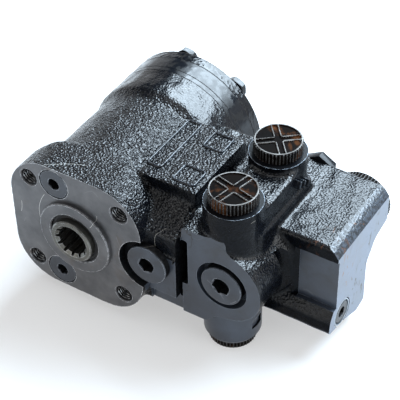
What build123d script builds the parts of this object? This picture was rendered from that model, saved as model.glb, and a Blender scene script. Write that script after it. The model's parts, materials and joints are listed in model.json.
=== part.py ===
"""Orbital steering unit with a built-in priority valve.

Millimetres. The origin is the centre of the column flange face, on the input axis.
X runs to the right seen from the column, Y rearwards along the shaft, Z up.
"""
from build123d import *
import math
import os

os.makedirs("parts", exist_ok=True)

# ---------------------------------------------------------------- driving sizes
# column flange and the front of the casting
flange_half = 42.5
flange_corner_r = 26.0
lug_end_y = 30.0
lug_blend_y = 41.0
bolt_circle_d = 82.5
mount_tap_r = 4.25
mount_tap_depth = 20.0
pilot_r = 22.8
pilot_h = 2.5

# main body along the input axis
body_r = 42.5
step_y = 70.0
step_len = 6.0
rear_r = 45.0
housing_rear_y = 101.0
plate_t = 3.5
gear_t = 10.5
cover_t = 7.5

# running and seating gaps
run_gap = 0.03
fit_gap = 0.03
seat_gap = 0.05
swing_gap = 0.5

# rotary valve
sleeve_r = 19.0
sleeve_wall = 4.5
neck_drop = 1.3
hollow_wall = 4.0
spool_face_y = -5.5
neck_end_y = 21.0
spool_rear_gap = 4.0
pin_r = 4.0
pin_y = 40.0
deflection_deg = 8.0
spring_y = 25.0
spring_w = 8.5
leaf_t = 0.8
leaf_count = 4
spring_ring_t = 0.9
spring_ring_half = 2.4
spline_teeth = 12
input_wall = 2.8
input_tooth_h = 1.6
input_spline_len = 22.0

# seals and thrust bearing
dust_seal_w = 2.4
dust_seal_len = 6.5
land_gap = 1.0
shaft_seal_w = 4.3
shaft_seal_y = 6.5
shaft_seal_len = 5.0
thrust_y = 13.0
race_t = 1.6
roller_r = 1.2
roller_count = 16

# gear set
lobes = 7
eccentric = 2.7
lobe_centre_r = 30.5
lobe_r = 7.5
mesh_gap = 0.05
gear_phase_deg = -2.0
drive_major_r = 9.7
drive_minor_r = 8.5
drive_shaft_r = 7.0
fork_gap = 1.2
fork_len = 13.0

# cover bolts
cover_bolt_circle_r = 38.5
bolt_r = 4.0
bolt_hole_r = 4.3
bolt_head_af = 13.0
bolt_head_h = 6.0
bolt_grip = 16.0
washer_r = 7.2
washer_t = 1.0
seal_track_r = 31.3
seal_w = 2.0
seal_t = 0.9
feed_hole_ring_r = 25.5
feed_hole_r = 2.4

# shock valve plugs in the flange face
shock_x = -12.5
shock_z = 31.5
shock_plug_r = 9.1
shock_plug_len = 10.0
shock_bore_r = 6.5
shock_seat_y = 31.0
ball_r = 4.2
valve_lift = 2.0

# big hex-socket plugs, one over the relief valve and one over the priority valve
plug_head_r = 12.2
plug_head_h = 9.0
plug_shank_r = 10.0
plug_shank_len = 7.0
plug_hex_af = 10.0
plug_hex_depth = 6.0
relief_x = 44.4
relief_z = -0.5
relief_floor_y = 5.5
relief_head_h = 4.5
relief_hex_af = 8.7
boss_right_x = 60.1
boss_top_z = 6.2
boss_step_z = -20.8
boss_step_y = 10.0
relief_bore_r = 6.5
relief_seat_y = 44.0
seat_hole_r = 3.0
notch_r = 16.5

# priority valve block
valve_x = 86.7
valve_face_y = 8.5
valve_left_x = 62.5
valve_top_z = 30.0
valve_bottom_z = -31.5
valve_nose_r = 23.4
valve_bore_r = 9.03
counterbore_r = 15.2
block_rear_y = 98.0
rear_plug_len = 16.5
rear_plug_sink = 1.5
spool_len = 38.0
spool_travel = 8.0

# ports
port_x = 84.5
port_front_y = 24.0
port_pitch = 45.8
boss_r = 16.0
boss_draft = 1.6
top_boss_z = 47.5
bottom_boss_z = -44.0
port_r = 8.0
port_depth = 15.5
gallery_r = 4.5
web_z = 43.5
rear_port_x = 120.3
rear_port_z = 5.5
rear_port_r = 10.5

# side block
side_x = 138.0
side_top_z = 24.0
side_front_y = 39.5
bevel_w = 6.5
bevel_h = 5.8
seat_bore_y = 48.7
seat_bore_z = -27.7
seat_plug_r = 6.5
seat_ring_r = 8.3
seat_ring_w = 1.55
seat_ring_t = 1.15
seat_plug_len = 12.0
seat_spring_len = 4.95
seat_skirt_len = 9.0
seat_stem_r = 3.2
seat_nose_r = 1.6
seat_nose_len = 4.8
seat_gallery_r = 2.5
seat_bore_len = 30.0

# threaded plastic caps
cap_r = 13.4
cap_h = 7.6
low_cap_h = 5.4
cap_shank_len = 9.0
rear_cap_r = 16.9
rear_cap_h = 6.0
rear_shank_len = 12.0
knurl_depth = 0.45
cross_w = 2.6
cross_depth = 1.2

# label pad
pad_top_z = 41.5
pad_left_x = 26.0
pad_right_x = 62.4

# gauge plug in the rear of the side block
hex_plug_x = 94.5
hex_plug_z = 17.3
hex_plug_af = 17.3
hex_plug_h = 5.0
hex_shank_r = 6.0
hex_shank_len = 10.0

# ------------------------------------------------------------ dependent stations
bore_r = sleeve_r + run_gap
spool_r = sleeve_r - sleeve_wall
neck_r = spool_r - neck_drop
hollow_r = spool_r - hollow_wall
fork_r = hollow_r - fork_gap
input_major_r = neck_r - input_wall
input_minor_r = input_major_r - input_tooth_h
dust_seat_r = neck_r + dust_seal_w
land_r = neck_r + land_gap
shaft_seal_r = neck_r + shaft_seal_w
hole_half = bolt_circle_d / 2 * math.sin(math.pi / 4)
plate_rear_y = housing_rear_y + plate_t
gear_rear_y = plate_rear_y + gear_t
cover_rear_y = gear_rear_y + cover_t
bearing_len = 2 * race_t + 2 * roller_r
sleeve_front_y = thrust_y + bearing_len + seat_gap
star_y = (plate_rear_y + gear_rear_y) / 2
drive_len = star_y - pin_y
gear_phase = math.radians(gear_phase_deg)
star_x = -eccentric * math.cos(gear_phase)
star_z = -eccentric * math.sin(gear_phase)
root_r = lobe_centre_r - lobe_r + 2 * eccentric + mesh_gap
port_rear_y = port_front_y + port_pitch
pack_t = leaf_t * leaf_count
bore_front_y = valve_face_y + 8.0
spool_front_y = bore_front_y + plug_shank_len + seat_gap
rear_seat_y = block_rear_y - rear_plug_sink - rear_plug_len


# ------------------------------------------------------------------ form helpers
def rod(r, y0, y1, x=0.0, z=0.0):
    """Cylinder along Y."""
    return Pos(x, (y0 + y1) / 2, z) * Rot(90, 0, 0) * Cylinder(r, abs(y1 - y0))


def post(r, z0, z1, x, y):
    """Cylinder along Z."""
    return Pos(x, y, (z0 + z1) / 2) * Cylinder(r, abs(z1 - z0))


def beam(r, x0, x1, y, z):
    """Cylinder along X."""
    return Pos((x0 + x1) / 2, y, z) * Rot(0, 90, 0) * Cylinder(r, abs(x1 - x0))


def block(x0, x1, y0, y1, z0, z1):
    return Pos((x0 + x1) / 2, (y0 + y1) / 2, (z0 + z1) / 2) * Box(x1 - x0, y1 - y0, z1 - z0)


def front_section(points, y0, y1):
    """Extrude an outline given in X and Z from y0 back to y1."""
    face = make_face(Plane.XZ * Polyline(*points, close=True))
    return Pos(0, y0, 0) * extrude(face, amount=y1 - y0, dir=(0, 1, 0))


def side_section(points, x0, x1):
    """Extrude an outline given in Y and Z from x0 to x1."""
    face = make_face(Plane.YZ * Polyline(*points, close=True))
    return Pos(x0, 0, 0) * extrude(face, amount=x1 - x0, dir=(1, 0, 0))


def turned(points, x=0.0, z=0.0):
    """Turn an outline given as radius and station about an axis along Y."""
    face = make_face(Polyline(*points, close=True))
    return Pos(x, 0, z) * revolve(face, Axis.Y, 360)


def band(r0, r1, y0, y1, x=0.0, z=0.0):
    """Plain ring about an axis along Y."""
    return turned([(r0, y0), (r1, y0), (r1, y1), (r0, y1)], x, z)


def hexagon(af, y0, y1, x=0.0, z=0.0, turn=0.0):
    """Hexagonal prism along Y."""
    face = Plane.XZ * Rot(0, 0, turn) * RegularPolygon(af / 2, 6, major_radius=False)
    return Pos(x, y0, z) * extrude(face, amount=y1 - y0, dir=(0, 1, 0))


def around(count, radius, phase_deg=0.0):
    """Evenly spaced centres round the main axis as (x, z) pairs."""
    angles = [math.radians(phase_deg + 360.0 * k / count) for k in range(count)]
    return [(radius * math.cos(a), radius * math.sin(a)) for a in angles]


def splined(r_root, r_tip, share, y0, y1, teeth=spline_teeth):
    """Straight-sided spline: a core with tapered teeth round it."""
    body = rod(r_root, y0, y1)
    pitch = 2 * math.pi / teeth
    half_root = pitch * share / 2 * r_root
    half_tip = half_root * 0.62
    tooth = front_section(
        [(r_root - 0.6, -half_root), (r_tip, -half_tip), (r_tip, half_tip), (r_root - 0.6, half_root)],
        y0, y1,
    )
    for k in range(teeth):
        body += Rot(0, 360.0 * k / teeth, 0) * tooth
    return body


def spring_coil(radius, wire, y0, y1, turns, x=0.0, z=0.0):
    """Square-wire compression spring along Y with both ends flat on their seats."""
    pitch = (y1 - y0 - wire) / turns
    path = Helix(pitch, y1 - y0 - wire, radius)
    start = Plane(origin=path @ 0, z_dir=path % 0, x_dir=(1, 0, 0))
    wound = sweep(start * Rectangle(wire, wire), path=path, is_frenet=True)
    placed = Pos(x, y0 + wire / 2, z) * Rot(-90, 0, 0) * wound
    half = wire / 2 + 0.02
    for y in (y0, y1 - wire):
        placed += band(radius - half, radius + half, y, y + wire, x, z)
    return placed


def save(name, shape):
    shape.label = name
    export_step(shape, "parts/" + name + ".step")


# ------------------------------------------------------------------- the casting
def flange_part():
    square = front_section(
        [(-flange_half, -flange_half), (flange_half, -flange_half),
         (flange_half, flange_half), (-flange_half, flange_half)],
        0, lug_blend_y,
    )
    square = fillet(square.edges().filter_by(Axis.Y), flange_corner_r)
    corner = flange_half * math.sqrt(2) - flange_corner_r * (math.sqrt(2) - 1)
    drop = corner - body_r
    steps = [(lug_end_y + (lug_blend_y - lug_end_y) * math.sin(math.radians(a)),
              body_r + drop * math.cos(math.radians(a))) for a in (0, 20, 40, 60, 75, 90)]
    outline = [(0, 0), (corner + 0.2, 0)] + [(r, y) for y, r in steps] + [(0, lug_blend_y)]
    lugs = square & turned(outline)
    lugs += rod(pilot_r, -pilot_h, 1)
    return lugs


def main_body():
    outline = [
        (0, lug_end_y), (body_r, lug_end_y), (body_r, step_y), (rear_r, step_y + step_len),
        (rear_r, housing_rear_y), (0, housing_rear_y),
    ]
    return turned(outline)


def label_pad():
    """Flat cast pad on top, with empty raised frames."""
    pad = block(pad_left_x, pad_right_x, 23, 75.5, 10, pad_top_z)
    pad = fillet(pad.edges().filter_by(Axis.Z), 1.5)
    pad = fillet(pad.edges().group_by(Axis.Z)[-1], 0.8)
    frame_h = 0.7
    frame_w = 1.0
    for x0, x1, y0, y1 in ((26.6, 35.6, 31, 73), (44.4, 57.0, 58, 71.5), (45.0, 58.5, 27, 40.5)):
        frame = block(x0, x1, y0, y1, pad_top_z - 0.5, pad_top_z + frame_h)
        frame -= block(x0 + frame_w, x1 - frame_w, y0 + frame_w, y1 - frame_w,
                       pad_top_z, pad_top_z + frame_h + 1)
        pad += frame
    return pad


def relief_boss():
    """Cast boss beside the flange that carries the relief valve."""
    face = block(30, boss_right_x, relief_floor_y, 30, boss_step_z, boss_top_z + 0.8)
    lower = block(34, boss_right_x, boss_step_y, 88, valve_bottom_z, boss_top_z + 0.8)
    web = block(43, valve_left_x + 2, boss_step_y, 60, valve_bottom_z, boss_step_z - 1.5)
    upper = side_section([(6, 6.2), (6, 20), (23.5, 34), (88, 34), (88, 6.2)], 36, 60)
    bridge = block(34, valve_left_x + 4, 34, 90, -27, 28)
    return face + lower + web + upper + bridge


def valve_block():
    nose = rod(valve_nose_r, valve_face_y, 62, valve_x)
    face = front_section(
        [(valve_left_x, valve_bottom_z), (valve_x - 10, valve_bottom_z), (valve_x - 2, -valve_nose_r + 1),
         (valve_x + 1.2, 0), (valve_x + 1.2, valve_top_z), (valve_left_x, valve_top_z)],
        valve_face_y, block_rear_y - 10,
    )
    rear = block(valve_x - 16, valve_x + 18, 60, block_rear_y, -20, side_top_z)
    flare = [(20, 20)]
    sweep_r = side_front_y + 1.5 - 20
    for a in (0, 20, 40, 60, 75, 90):
        t = math.radians(a)
        flare.append((valve_nose_r + 0.62 * sweep_r * (1 - math.cos(t)), 20 + sweep_r * math.sin(t)))
    skirt = turned(flare + [(20, side_front_y + 1.5)], valve_x)
    skirt &= block(valve_x, side_x, 10, 60, -30, side_top_z - 1)
    slot = block(boss_right_x, valve_left_x + 3.5, 0, 30, -10, 21.5)
    slot = fillet(slot.edges().filter_by(Axis.Y), 2.5)
    return (nose + face + rear + skirt) - slot


def port_bosses():
    """Upright bosses under the caps, joined by a web, and the one pointing down."""
    body = None
    for y in (port_front_y, port_rear_y):
        boss = post(boss_r, 0, top_boss_z, port_x, y)
        cone = Pos(port_x, y, 16) * Cone(boss_r + boss_draft, boss_r, 32)
        body = boss + cone if body is None else body + boss + cone
    web = block(port_x - 9, port_x + boss_r - 0.4, port_front_y, port_rear_y, 0, web_z)
    web = fillet(web.edges().filter_by(Axis.Y).group_by(Axis.Z)[-1], 1.5)
    wall = block(port_x, port_x + boss_r + boss_draft, port_front_y, port_rear_y + 8, 0, 30)
    down = post(boss_r, bottom_boss_z, 0, port_x, port_front_y)
    return body + web + wall + down


def side_block():
    outline = [
        (side_front_y, -16), (34.5, -25), (34.3, -33), (52, -36.5), (66.8, -42.8), (76, -41),
        (75.5, -13), (84.5, -2), (block_rear_y, 3), (block_rear_y, side_top_z), (side_front_y, side_top_z),
    ]
    body = side_section(outline, valve_x + 6, side_x)
    bevel = side_x - bevel_w
    body -= front_section(
        [(bevel, side_top_z + 1), (bevel, side_top_z), (side_x - bevel_w * 0.45, side_top_z - bevel_h * 0.3),
         (side_x, side_top_z - bevel_h), (side_x + 1, side_top_z - bevel_h), (side_x + 1, side_top_z + 1)],
        side_front_y - 1, block_rear_y + 1,
    )
    # the front wall lies a little behind the lip along the top
    body -= block(valve_x + 20, side_x + 1, side_front_y - 1, side_front_y + 1.6, -18, side_top_z - 8)
    # round boss for the rear port
    body += rod(rear_port_r + 7.2, block_rear_y - 30, block_rear_y, rear_port_x, rear_port_z)
    return body


def casting():
    body = flange_part() + main_body() + label_pad() + relief_boss()
    body += valve_block() + port_bosses() + side_block()
    # faces milled flat across the valve nose and round the relief plug
    body -= block(valve_left_x, 108, -5, valve_face_y, -50, valve_top_z + 0.6)
    body -= rod(notch_r, -1, relief_floor_y, relief_x, relief_z)
    body -= block(relief_x + 1.2, valve_left_x, -1, relief_floor_y, boss_step_z, boss_top_z)
    # front bore: dust seal seat, land, shaft seal groove, then the long valve bore
    body -= rod(dust_seat_r, -pilot_h - 1, dust_seal_len - pilot_h)
    body -= rod(land_r, -pilot_h, thrust_y + 1)
    body -= rod(shaft_seal_r, shaft_seal_y, shaft_seal_y + shaft_seal_len)
    body -= rod(bore_r, thrust_y, housing_rear_y + 1)
    for y in (50, 62, 74, 86):
        body -= rod(bore_r + 2.2, y, y + 5)
    for x in (-hole_half, hole_half):
        for z in (-hole_half, hole_half):
            body -= rod(mount_tap_r, -1, mount_tap_depth, x, z)
    for x, z in around(lobes, cover_bolt_circle_r, gear_phase_deg):
        body -= rod(bolt_r + fit_gap, housing_rear_y - bolt_grip - 2, housing_rear_y + 1, x, z)
    # shock valve bores
    for z in (-shock_z, shock_z):
        body -= rod(shock_plug_r + fit_gap, -1, shock_plug_len + seat_gap, shock_x, z)
        body -= rod(shock_bore_r + fit_gap, 0, shock_seat_y + 4 + seat_gap, shock_x, z)
        body -= rod(seat_hole_r, 30, 52.5, shock_x, z)
        body -= post(2.5, min(z, 0), max(z, 0), shock_x, 52.5) & rod(34, 40, 60)
    # relief valve bore
    shank_end_y = relief_floor_y + plug_shank_len + 2
    body -= rod(plug_shank_r + fit_gap, relief_floor_y - 1, shank_end_y, relief_x, relief_z)
    body -= rod(relief_bore_r + fit_gap, relief_floor_y, relief_seat_y, relief_x, relief_z)
    body -= rod(seat_hole_r, 40, 64, relief_x, relief_z)
    # priority valve bore, closed by a plug at each end
    body -= rod(counterbore_r, 0, bore_front_y, valve_x)
    body -= rod(plug_shank_r + fit_gap, 0, bore_front_y + plug_shank_len, valve_x)
    body -= rod(valve_bore_r, 0, block_rear_y, valve_x)
    body -= rod(plug_shank_r + fit_gap, rear_seat_y, block_rear_y + 1, valve_x)
    # ports and their galleries
    for y in (port_front_y, port_rear_y):
        body -= post(port_r + fit_gap, top_boss_z - port_depth, top_boss_z + 1, port_x, y)
    body -= post(gallery_r, 0, top_boss_z - 2, port_x, port_front_y + 5)
    body -= post(gallery_r, 0, top_boss_z - 2, port_x, port_rear_y)
    body -= post(port_r + fit_gap, bottom_boss_z - 1, bottom_boss_z + port_depth, port_x, port_front_y)
    body -= post(gallery_r, bottom_boss_z + 2, 0, port_x, port_front_y + 5)
    body -= beam(gallery_r, 0, valve_x, 64.5, 3)
    body -= beam(gallery_r - 0.5, 0, rear_port_x, 68, -14)
    body -= rod(rear_port_r + fit_gap, 66, block_rear_y + 1, rear_port_x, rear_port_z)
    body -= post(gallery_r, -14, 0, rear_port_x, 68)
    # bore for the load-sensing seat valve, across the side block
    bore_end_x = side_x - seat_bore_len
    gallery_x = bore_end_x - 12
    body -= beam(seat_plug_r + fit_gap, bore_end_x, side_x + 1, seat_bore_y, seat_bore_z)
    ring_floor_x = side_x - seat_ring_t - seat_gap
    body -= beam(seat_ring_r + fit_gap, ring_floor_x, side_x + 1, seat_bore_y, seat_bore_z)
    body -= beam(seat_gallery_r, gallery_x, bore_end_x + 2, seat_bore_y, seat_bore_z)
    body -= post(seat_gallery_r, seat_bore_z, 0, gallery_x, seat_bore_y)
    hex_bore_y = block_rear_y - hex_shank_len - 2
    body -= rod(hex_shank_r + fit_gap, hex_bore_y, block_rear_y + 1, hex_plug_x, hex_plug_z)
    return body


# --------------------------------------------------------------- seals, bearing
def seals():
    dust_end = dust_seal_len - pilot_h
    save("dust_seal", turned([
        (neck_r + fit_gap, -1.2), (neck_r + 0.9, -0.4), (dust_seat_r - fit_gap, -0.4),
        (dust_seat_r - fit_gap, dust_end - seat_gap), (neck_r + 0.9, dust_end - seat_gap),
        (neck_r + fit_gap, 1.0),
    ]))
    y0 = shaft_seal_y + seat_gap
    y1 = shaft_seal_y + shaft_seal_len - seat_gap
    save("shaft_seal", turned([
        (neck_r + fit_gap, y0 + 1.6), (neck_r + 1.2, y0), (shaft_seal_r - fit_gap, y0),
        (shaft_seal_r - fit_gap, y1), (neck_r + 1.6, y1), (neck_r + 1.6, y1 - 1.2),
        (neck_r + fit_gap, y0 + 2.6),
    ]))


def thrust_bearing():
    inner = neck_r + 0.15
    outer = sleeve_r - 0.3
    y1 = thrust_y + race_t
    y2 = y1 + 2 * roller_r
    save("bearing_race_front", band(inner, outer, thrust_y + 0.01, y1))
    cage = band(inner + 0.5, outer - 0.4, y1 + 0.5, y2 - 0.5)
    mid = (y1 + y2) / 2
    length = outer - inner - 2.2
    for x, z in around(roller_count, (inner + outer) / 2):
        angle = math.degrees(math.atan2(z, x))
        needle = Pos(x, mid, z) * Rot(0, -angle, 0) * Rot(0, 90, 0) * Cylinder(roller_r - 0.02, length)
        cage += needle
    save("bearing_cage", cage)
    save("bearing_race_rear", band(inner, outer, y2, y2 + race_t))


# ----------------------------------------------------------------- rotary valve
def rotary_valve():
    sleeve_rear_y = housing_rear_y - 0.3
    sleeve = band(spool_r + run_gap, sleeve_r, sleeve_front_y, sleeve_rear_y)
    half_w = spring_w / 2 + fit_gap
    half_t = pack_t / 2 + fit_gap
    window = block(-30, 30, spring_y - half_w, spring_y + half_w, -half_t, half_t)
    sleeve -= window
    track_half = spring_ring_half + 0.1
    sleeve -= band(sleeve_r - spring_ring_t, sleeve_r + 1, spring_y - track_half, spring_y + track_half)
    sleeve -= post(pin_r + fit_gap, -30, 30, 0, pin_y)
    for y, r, count, phase in ((52.5, 1.6, 6, 0), (64.5, 1.6, 6, 30), (76.5, 1.6, 6, 0), (88.5, 2.2, 7, 0)):
        for x, z in around(count, 1, phase):
            hole = Rot(0, math.degrees(math.atan2(x, z)), 0) * post(r, 10, 25, 0, y)
            sleeve -= hole
    for y in (58.5, 70.5, 82.5):
        sleeve -= band(sleeve_r - 0.8, sleeve_r + 1, y - 0.8, y + 0.8)
    save("control_sleeve", sleeve)

    spool_rear_y = housing_rear_y - spool_rear_gap
    spool = turned([
        (0, spool_face_y), (neck_r - 0.6, spool_face_y), (neck_r, spool_face_y + 0.6), (neck_r, neck_end_y),
        (spool_r, neck_end_y), (spool_r, spool_rear_y), (0, spool_rear_y),
    ])
    spool -= rod(hollow_r, spool_face_y + input_spline_len, spool_rear_y + 1)
    spline_end_y = spool_face_y + input_spline_len + 1
    spool -= splined(input_minor_r, input_major_r, 0.5, spool_face_y - 1, spline_end_y)
    spool -= turned([(0, spool_face_y - 0.1), (input_major_r + 0.3, spool_face_y - 0.1),
                     (input_minor_r - 0.6, spool_face_y + 1.8), (0, spool_face_y + 1.8)])
    spool -= window
    swing = math.sin(math.radians(deflection_deg)) * spool_r
    spool -= post(pin_r + swing + swing_gap, -30, 30, 0, pin_y)
    for x, z in around(6, 1, 15):
        turn = math.degrees(math.atan2(x, z))
        groove = Pos(0, 70.5, spool_r + 0.2) * Box(2.4, 20, 2.4)
        spool -= Rot(0, turn, 0) * groove
    spool -= band(spool_r - 1.2, spool_r + 1, 86, 91)
    for x, z in around(4, 1, 45):
        spool -= Rot(0, math.degrees(math.atan2(x, z)), 0) * post(2, 5, 25, 0, 88.5)
    save("control_spool", spool)

    pin_reach = math.sqrt(sleeve_r ** 2 - pin_r ** 2) - 0.1
    save("cross_pin", post(pin_r, -pin_reach, pin_reach, 0, pin_y))

    pack = None
    reach = sleeve_r - spring_ring_t - fit_gap - 0.1
    for k in range(leaf_count):
        z0 = -pack_t / 2 + k * leaf_t
        leaf = block(-reach, reach, spring_y - spring_w / 2, spring_y + spring_w / 2, z0, z0 + leaf_t)
        pack = leaf if pack is None else pack + leaf
    save("centring_springs", pack)
    ring_in = sleeve_r - spring_ring_t + fit_gap
    ring_y0 = spring_y - spring_ring_half
    ring_y1 = spring_y + spring_ring_half
    save("spring_ring", band(ring_in, sleeve_r - 0.05, ring_y0, ring_y1))


def drive_shaft():
    front = pin_y - 7
    shaft = turned([
        (0, front), (fork_r - 1, front), (fork_r, front + 1), (fork_r, front + fork_len + 2),
        (drive_shaft_r, front + fork_len + 7), (drive_shaft_r, plate_rear_y - 6),
        (drive_minor_r - 0.3, plate_rear_y - 2.5), (drive_minor_r - 0.3, gear_rear_y - 2.6),
        (0, gear_rear_y - 2.6),
    ])
    shaft += splined(drive_minor_r - 0.3, drive_major_r - 0.35, 0.34, plate_rear_y + 0.6, gear_rear_y - 2.6)
    half = pin_r + swing_gap
    shaft -= block(-half, half, front - 1, pin_y, -12, 12)
    shaft -= post(half, -12, 12, 0, pin_y)
    tilt = math.degrees(math.atan2(eccentric, drive_len))
    swung = Pos(0, pin_y, 0) * Rot(0, -gear_phase_deg, 0) * Rot(0, 0, tilt) * Rot(0, gear_phase_deg, 0)
    save("drive_shaft", swung * Pos(0, -pin_y, 0) * shaft)


# --------------------------------------------------------------------- gear set
def star_profile():
    """Inner gear flank: the curve traced by the ring lobes, offset inwards by their radius."""
    teeth = lobes - 1
    reach = lobe_r + mesh_gap
    count = 14 * teeth
    points = []
    for k in range(count):
        t = 2 * math.pi * k / count
        px = lobe_centre_r * math.cos(t) + eccentric * math.cos(lobes * t)
        pz = lobe_centre_r * math.sin(t) + eccentric * math.sin(lobes * t)
        dx = -lobe_centre_r * math.sin(t) - lobes * eccentric * math.sin(lobes * t)
        dz = lobe_centre_r * math.cos(t) + lobes * eccentric * math.cos(lobes * t)
        size = math.hypot(dx, dz)
        points.append((px - reach * dz / size, pz + reach * dx / size))
    return points


def turn_section(points, angle):
    c = math.cos(angle)
    s = math.sin(angle)
    return [(x * c - z * s, x * s + z * c) for x, z in points]


def gear_set():
    ring = band(root_r, rear_r, plate_rear_y, gear_rear_y)
    for x, z in around(lobes, lobe_centre_r, gear_phase_deg):
        ring += rod(lobe_r, plate_rear_y, gear_rear_y, x, z)
    for x, z in around(lobes, cover_bolt_circle_r, gear_phase_deg):
        ring -= rod(bolt_hole_r, plate_rear_y - 1, gear_rear_y + 1, x, z)
    save("gear_ring", ring)

    points = [(x + star_x, z + star_z) for x, z in turn_section(star_profile(), gear_phase)]
    outline = Plane.XZ * Spline(*points, periodic=True)
    star = Pos(0, plate_rear_y + run_gap, 0) * extrude(
        make_face(outline), amount=gear_t - 2 * run_gap, dir=(0, 1, 0))
    socket = splined(drive_minor_r, drive_major_r, 0.62, plate_rear_y - 1, gear_rear_y + 1)
    star -= Pos(star_x, 0, star_z) * Rot(0, -gear_phase_deg, 0) * socket
    save("gear_star", star)

    save("rotor_spacer", rod(drive_minor_r - 0.1, gear_rear_y - 2.2, gear_rear_y - run_gap, star_x, star_z))


def closed_end():
    """Port plate, end cover, seals and the bolts that hold the stack."""
    plate = band(13.5, rear_r, housing_rear_y, plate_rear_y)
    cover = turned([
        (0, gear_rear_y), (rear_r, gear_rear_y), (rear_r, cover_rear_y - 1), (rear_r - 1, cover_rear_y),
        (0, cover_rear_y),
    ])
    for x, z in around(lobes, cover_bolt_circle_r, gear_phase_deg):
        plate -= rod(bolt_hole_r, housing_rear_y - 1, plate_rear_y + 1, x, z)
        cover -= rod(bolt_hole_r, gear_rear_y - 1, cover_rear_y + 1, x, z)
    for x, z in around(lobes, feed_hole_ring_r, gear_phase_deg + 180.0 / lobes):
        plate -= rod(feed_hole_r, housing_rear_y - 1, plate_rear_y + 1, x, z)
    track_in = seal_track_r - seal_w / 2
    track_out = seal_track_r + seal_w / 2
    tracks = (
        ("seal_ring_front", housing_rear_y, 1), ("seal_ring_middle", plate_rear_y, -1),
        ("seal_ring_rear", gear_rear_y, 1),
    )
    for name, y, way in tracks:
        groove = band(track_in, track_out, min(y, y + way * seal_t), max(y, y + way * seal_t))
        if name == "seal_ring_rear":
            cover -= groove
        else:
            plate -= groove
        inset = fit_gap * way
        y0 = y + inset
        y1 = y + way * seal_t - inset
        save(name, band(track_in + fit_gap, track_out - fit_gap, min(y0, y1), max(y0, y1)))
    save("port_plate", plate)
    save("end_cover", cover)

    washers = None
    under_head = cover_rear_y + washer_t
    for k, (x, z) in enumerate(around(lobes, cover_bolt_circle_r, gear_phase_deg)):
        washer = band(bolt_r + 0.3, washer_r, cover_rear_y, under_head, x, z)
        washers = washer if washers is None else washers + washer
        head = hexagon(bolt_head_af, under_head, under_head + bolt_head_h, x, z, 10 * k)
        head &= turned([
            (0, under_head), (8, under_head), (8, under_head + bolt_head_h - 0.9),
            (bolt_head_af / 2 - 0.4, under_head + bolt_head_h), (0, under_head + bolt_head_h),
        ], x, z)
        bolt = head + rod(bolt_r, housing_rear_y - bolt_grip, under_head + 1, x, z)
        save("cover_bolt_%d" % (k + 1), bolt)
    save("cover_washers", washers)


# ---------------------------------------------------------------- valve inserts
def socket_plug(x, z, seat, head_h, hex_af):
    """Cylinder-head plug with a hex socket; the head stands on its seat face."""
    face_y = seat - head_h
    plug = turned([
        (0, face_y), (plug_head_r - 0.6, face_y), (plug_head_r, face_y + 0.6), (plug_head_r, seat),
        (plug_shank_r, seat), (plug_shank_r, seat + plug_shank_len - 0.8),
        (plug_shank_r - 0.8, seat + plug_shank_len), (0, seat + plug_shank_len),
    ], x, z)
    return plug - hexagon(hex_af, face_y - 1, face_y + plug_hex_depth, x, z, 12)


def shock_valves():
    for tag, z in (("lower", -shock_z), ("upper", shock_z)):
        plug = rod(shock_plug_r, 0.1, shock_plug_len, shock_x, z)
        plug -= hexagon(7, 0, 5, shock_x, z, 20)
        save("shock_plug_" + tag, plug)
        sink = math.sqrt(ball_r ** 2 - seat_hole_r ** 2)
        ball_y = shock_seat_y - sink - 0.02
        save("shock_ball_" + tag, Pos(shock_x, ball_y, z) * Sphere(ball_r))
        seat = band(seat_hole_r, shock_bore_r, shock_seat_y, shock_seat_y + 4, shock_x, z)
        save("shock_seat_" + tag, seat)
        save("shock_spring_" + tag,
             spring_coil(3.0, 0.9, shock_plug_len + 0.05, ball_y - ball_r + 0.8, 6, shock_x, z))


def relief_valve():
    save("relief_plug", socket_plug(relief_x, relief_z, relief_floor_y, relief_head_h, relief_hex_af))
    y0 = relief_seat_y - 12
    poppet = turned([
        (0, y0 + 4), (4, y0 + 4), (4, y0), (relief_bore_r - run_gap, y0), (relief_bore_r - run_gap, y0 + 8),
        (seat_hole_r - 0.04, relief_seat_y), (seat_hole_r - 1, relief_seat_y + 1.6),
        (0, relief_seat_y + 1.6),
    ], relief_x, relief_z)
    save("relief_poppet", poppet)
    save("relief_spring",
         spring_coil(3.2, 1.1, relief_floor_y + plug_shank_len + 0.05, y0 + 3.95, 5, relief_x, relief_z))


def priority_valve():
    save("priority_plug", socket_plug(valve_x, 0, bore_front_y, plug_head_h, plug_hex_af))
    r = valve_bore_r - run_gap
    y0 = spool_front_y
    y1 = y0 + spool_len
    spool = turned([
        (0, y0), (6.5, y0), (6.5, y0 + 1.2), (r, y0 + 1.2), (r, y0 + 10), (6.4, y0 + 10), (6.4, y0 + 22),
        (r, y0 + 22), (r, y1), (5.6, y1), (5.6, y1 - 10), (0, y1 - 10),
    ], valve_x)
    for y in (y0 + 4, y0 + 27, y0 + 33):
        spool -= band(r - 0.5, r + 1, y, y + 0.8, valve_x)
    spool -= rod(1.0, y0 - 1, y0 + 18, valve_x)
    save("priority_spool", spool)
    save("priority_spring", spring_coil(4.6, 1.4, y1 - 9.95, rear_seat_y - 0.05, 7, valve_x))
    plug = rod(plug_shank_r, rear_seat_y, block_rear_y - rear_plug_sink, valve_x)
    plug -= hexagon(plug_hex_af, block_rear_y - rear_plug_sink - plug_hex_depth, block_rear_y, valve_x, 0)
    save("priority_rear_plug", plug)


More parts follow.
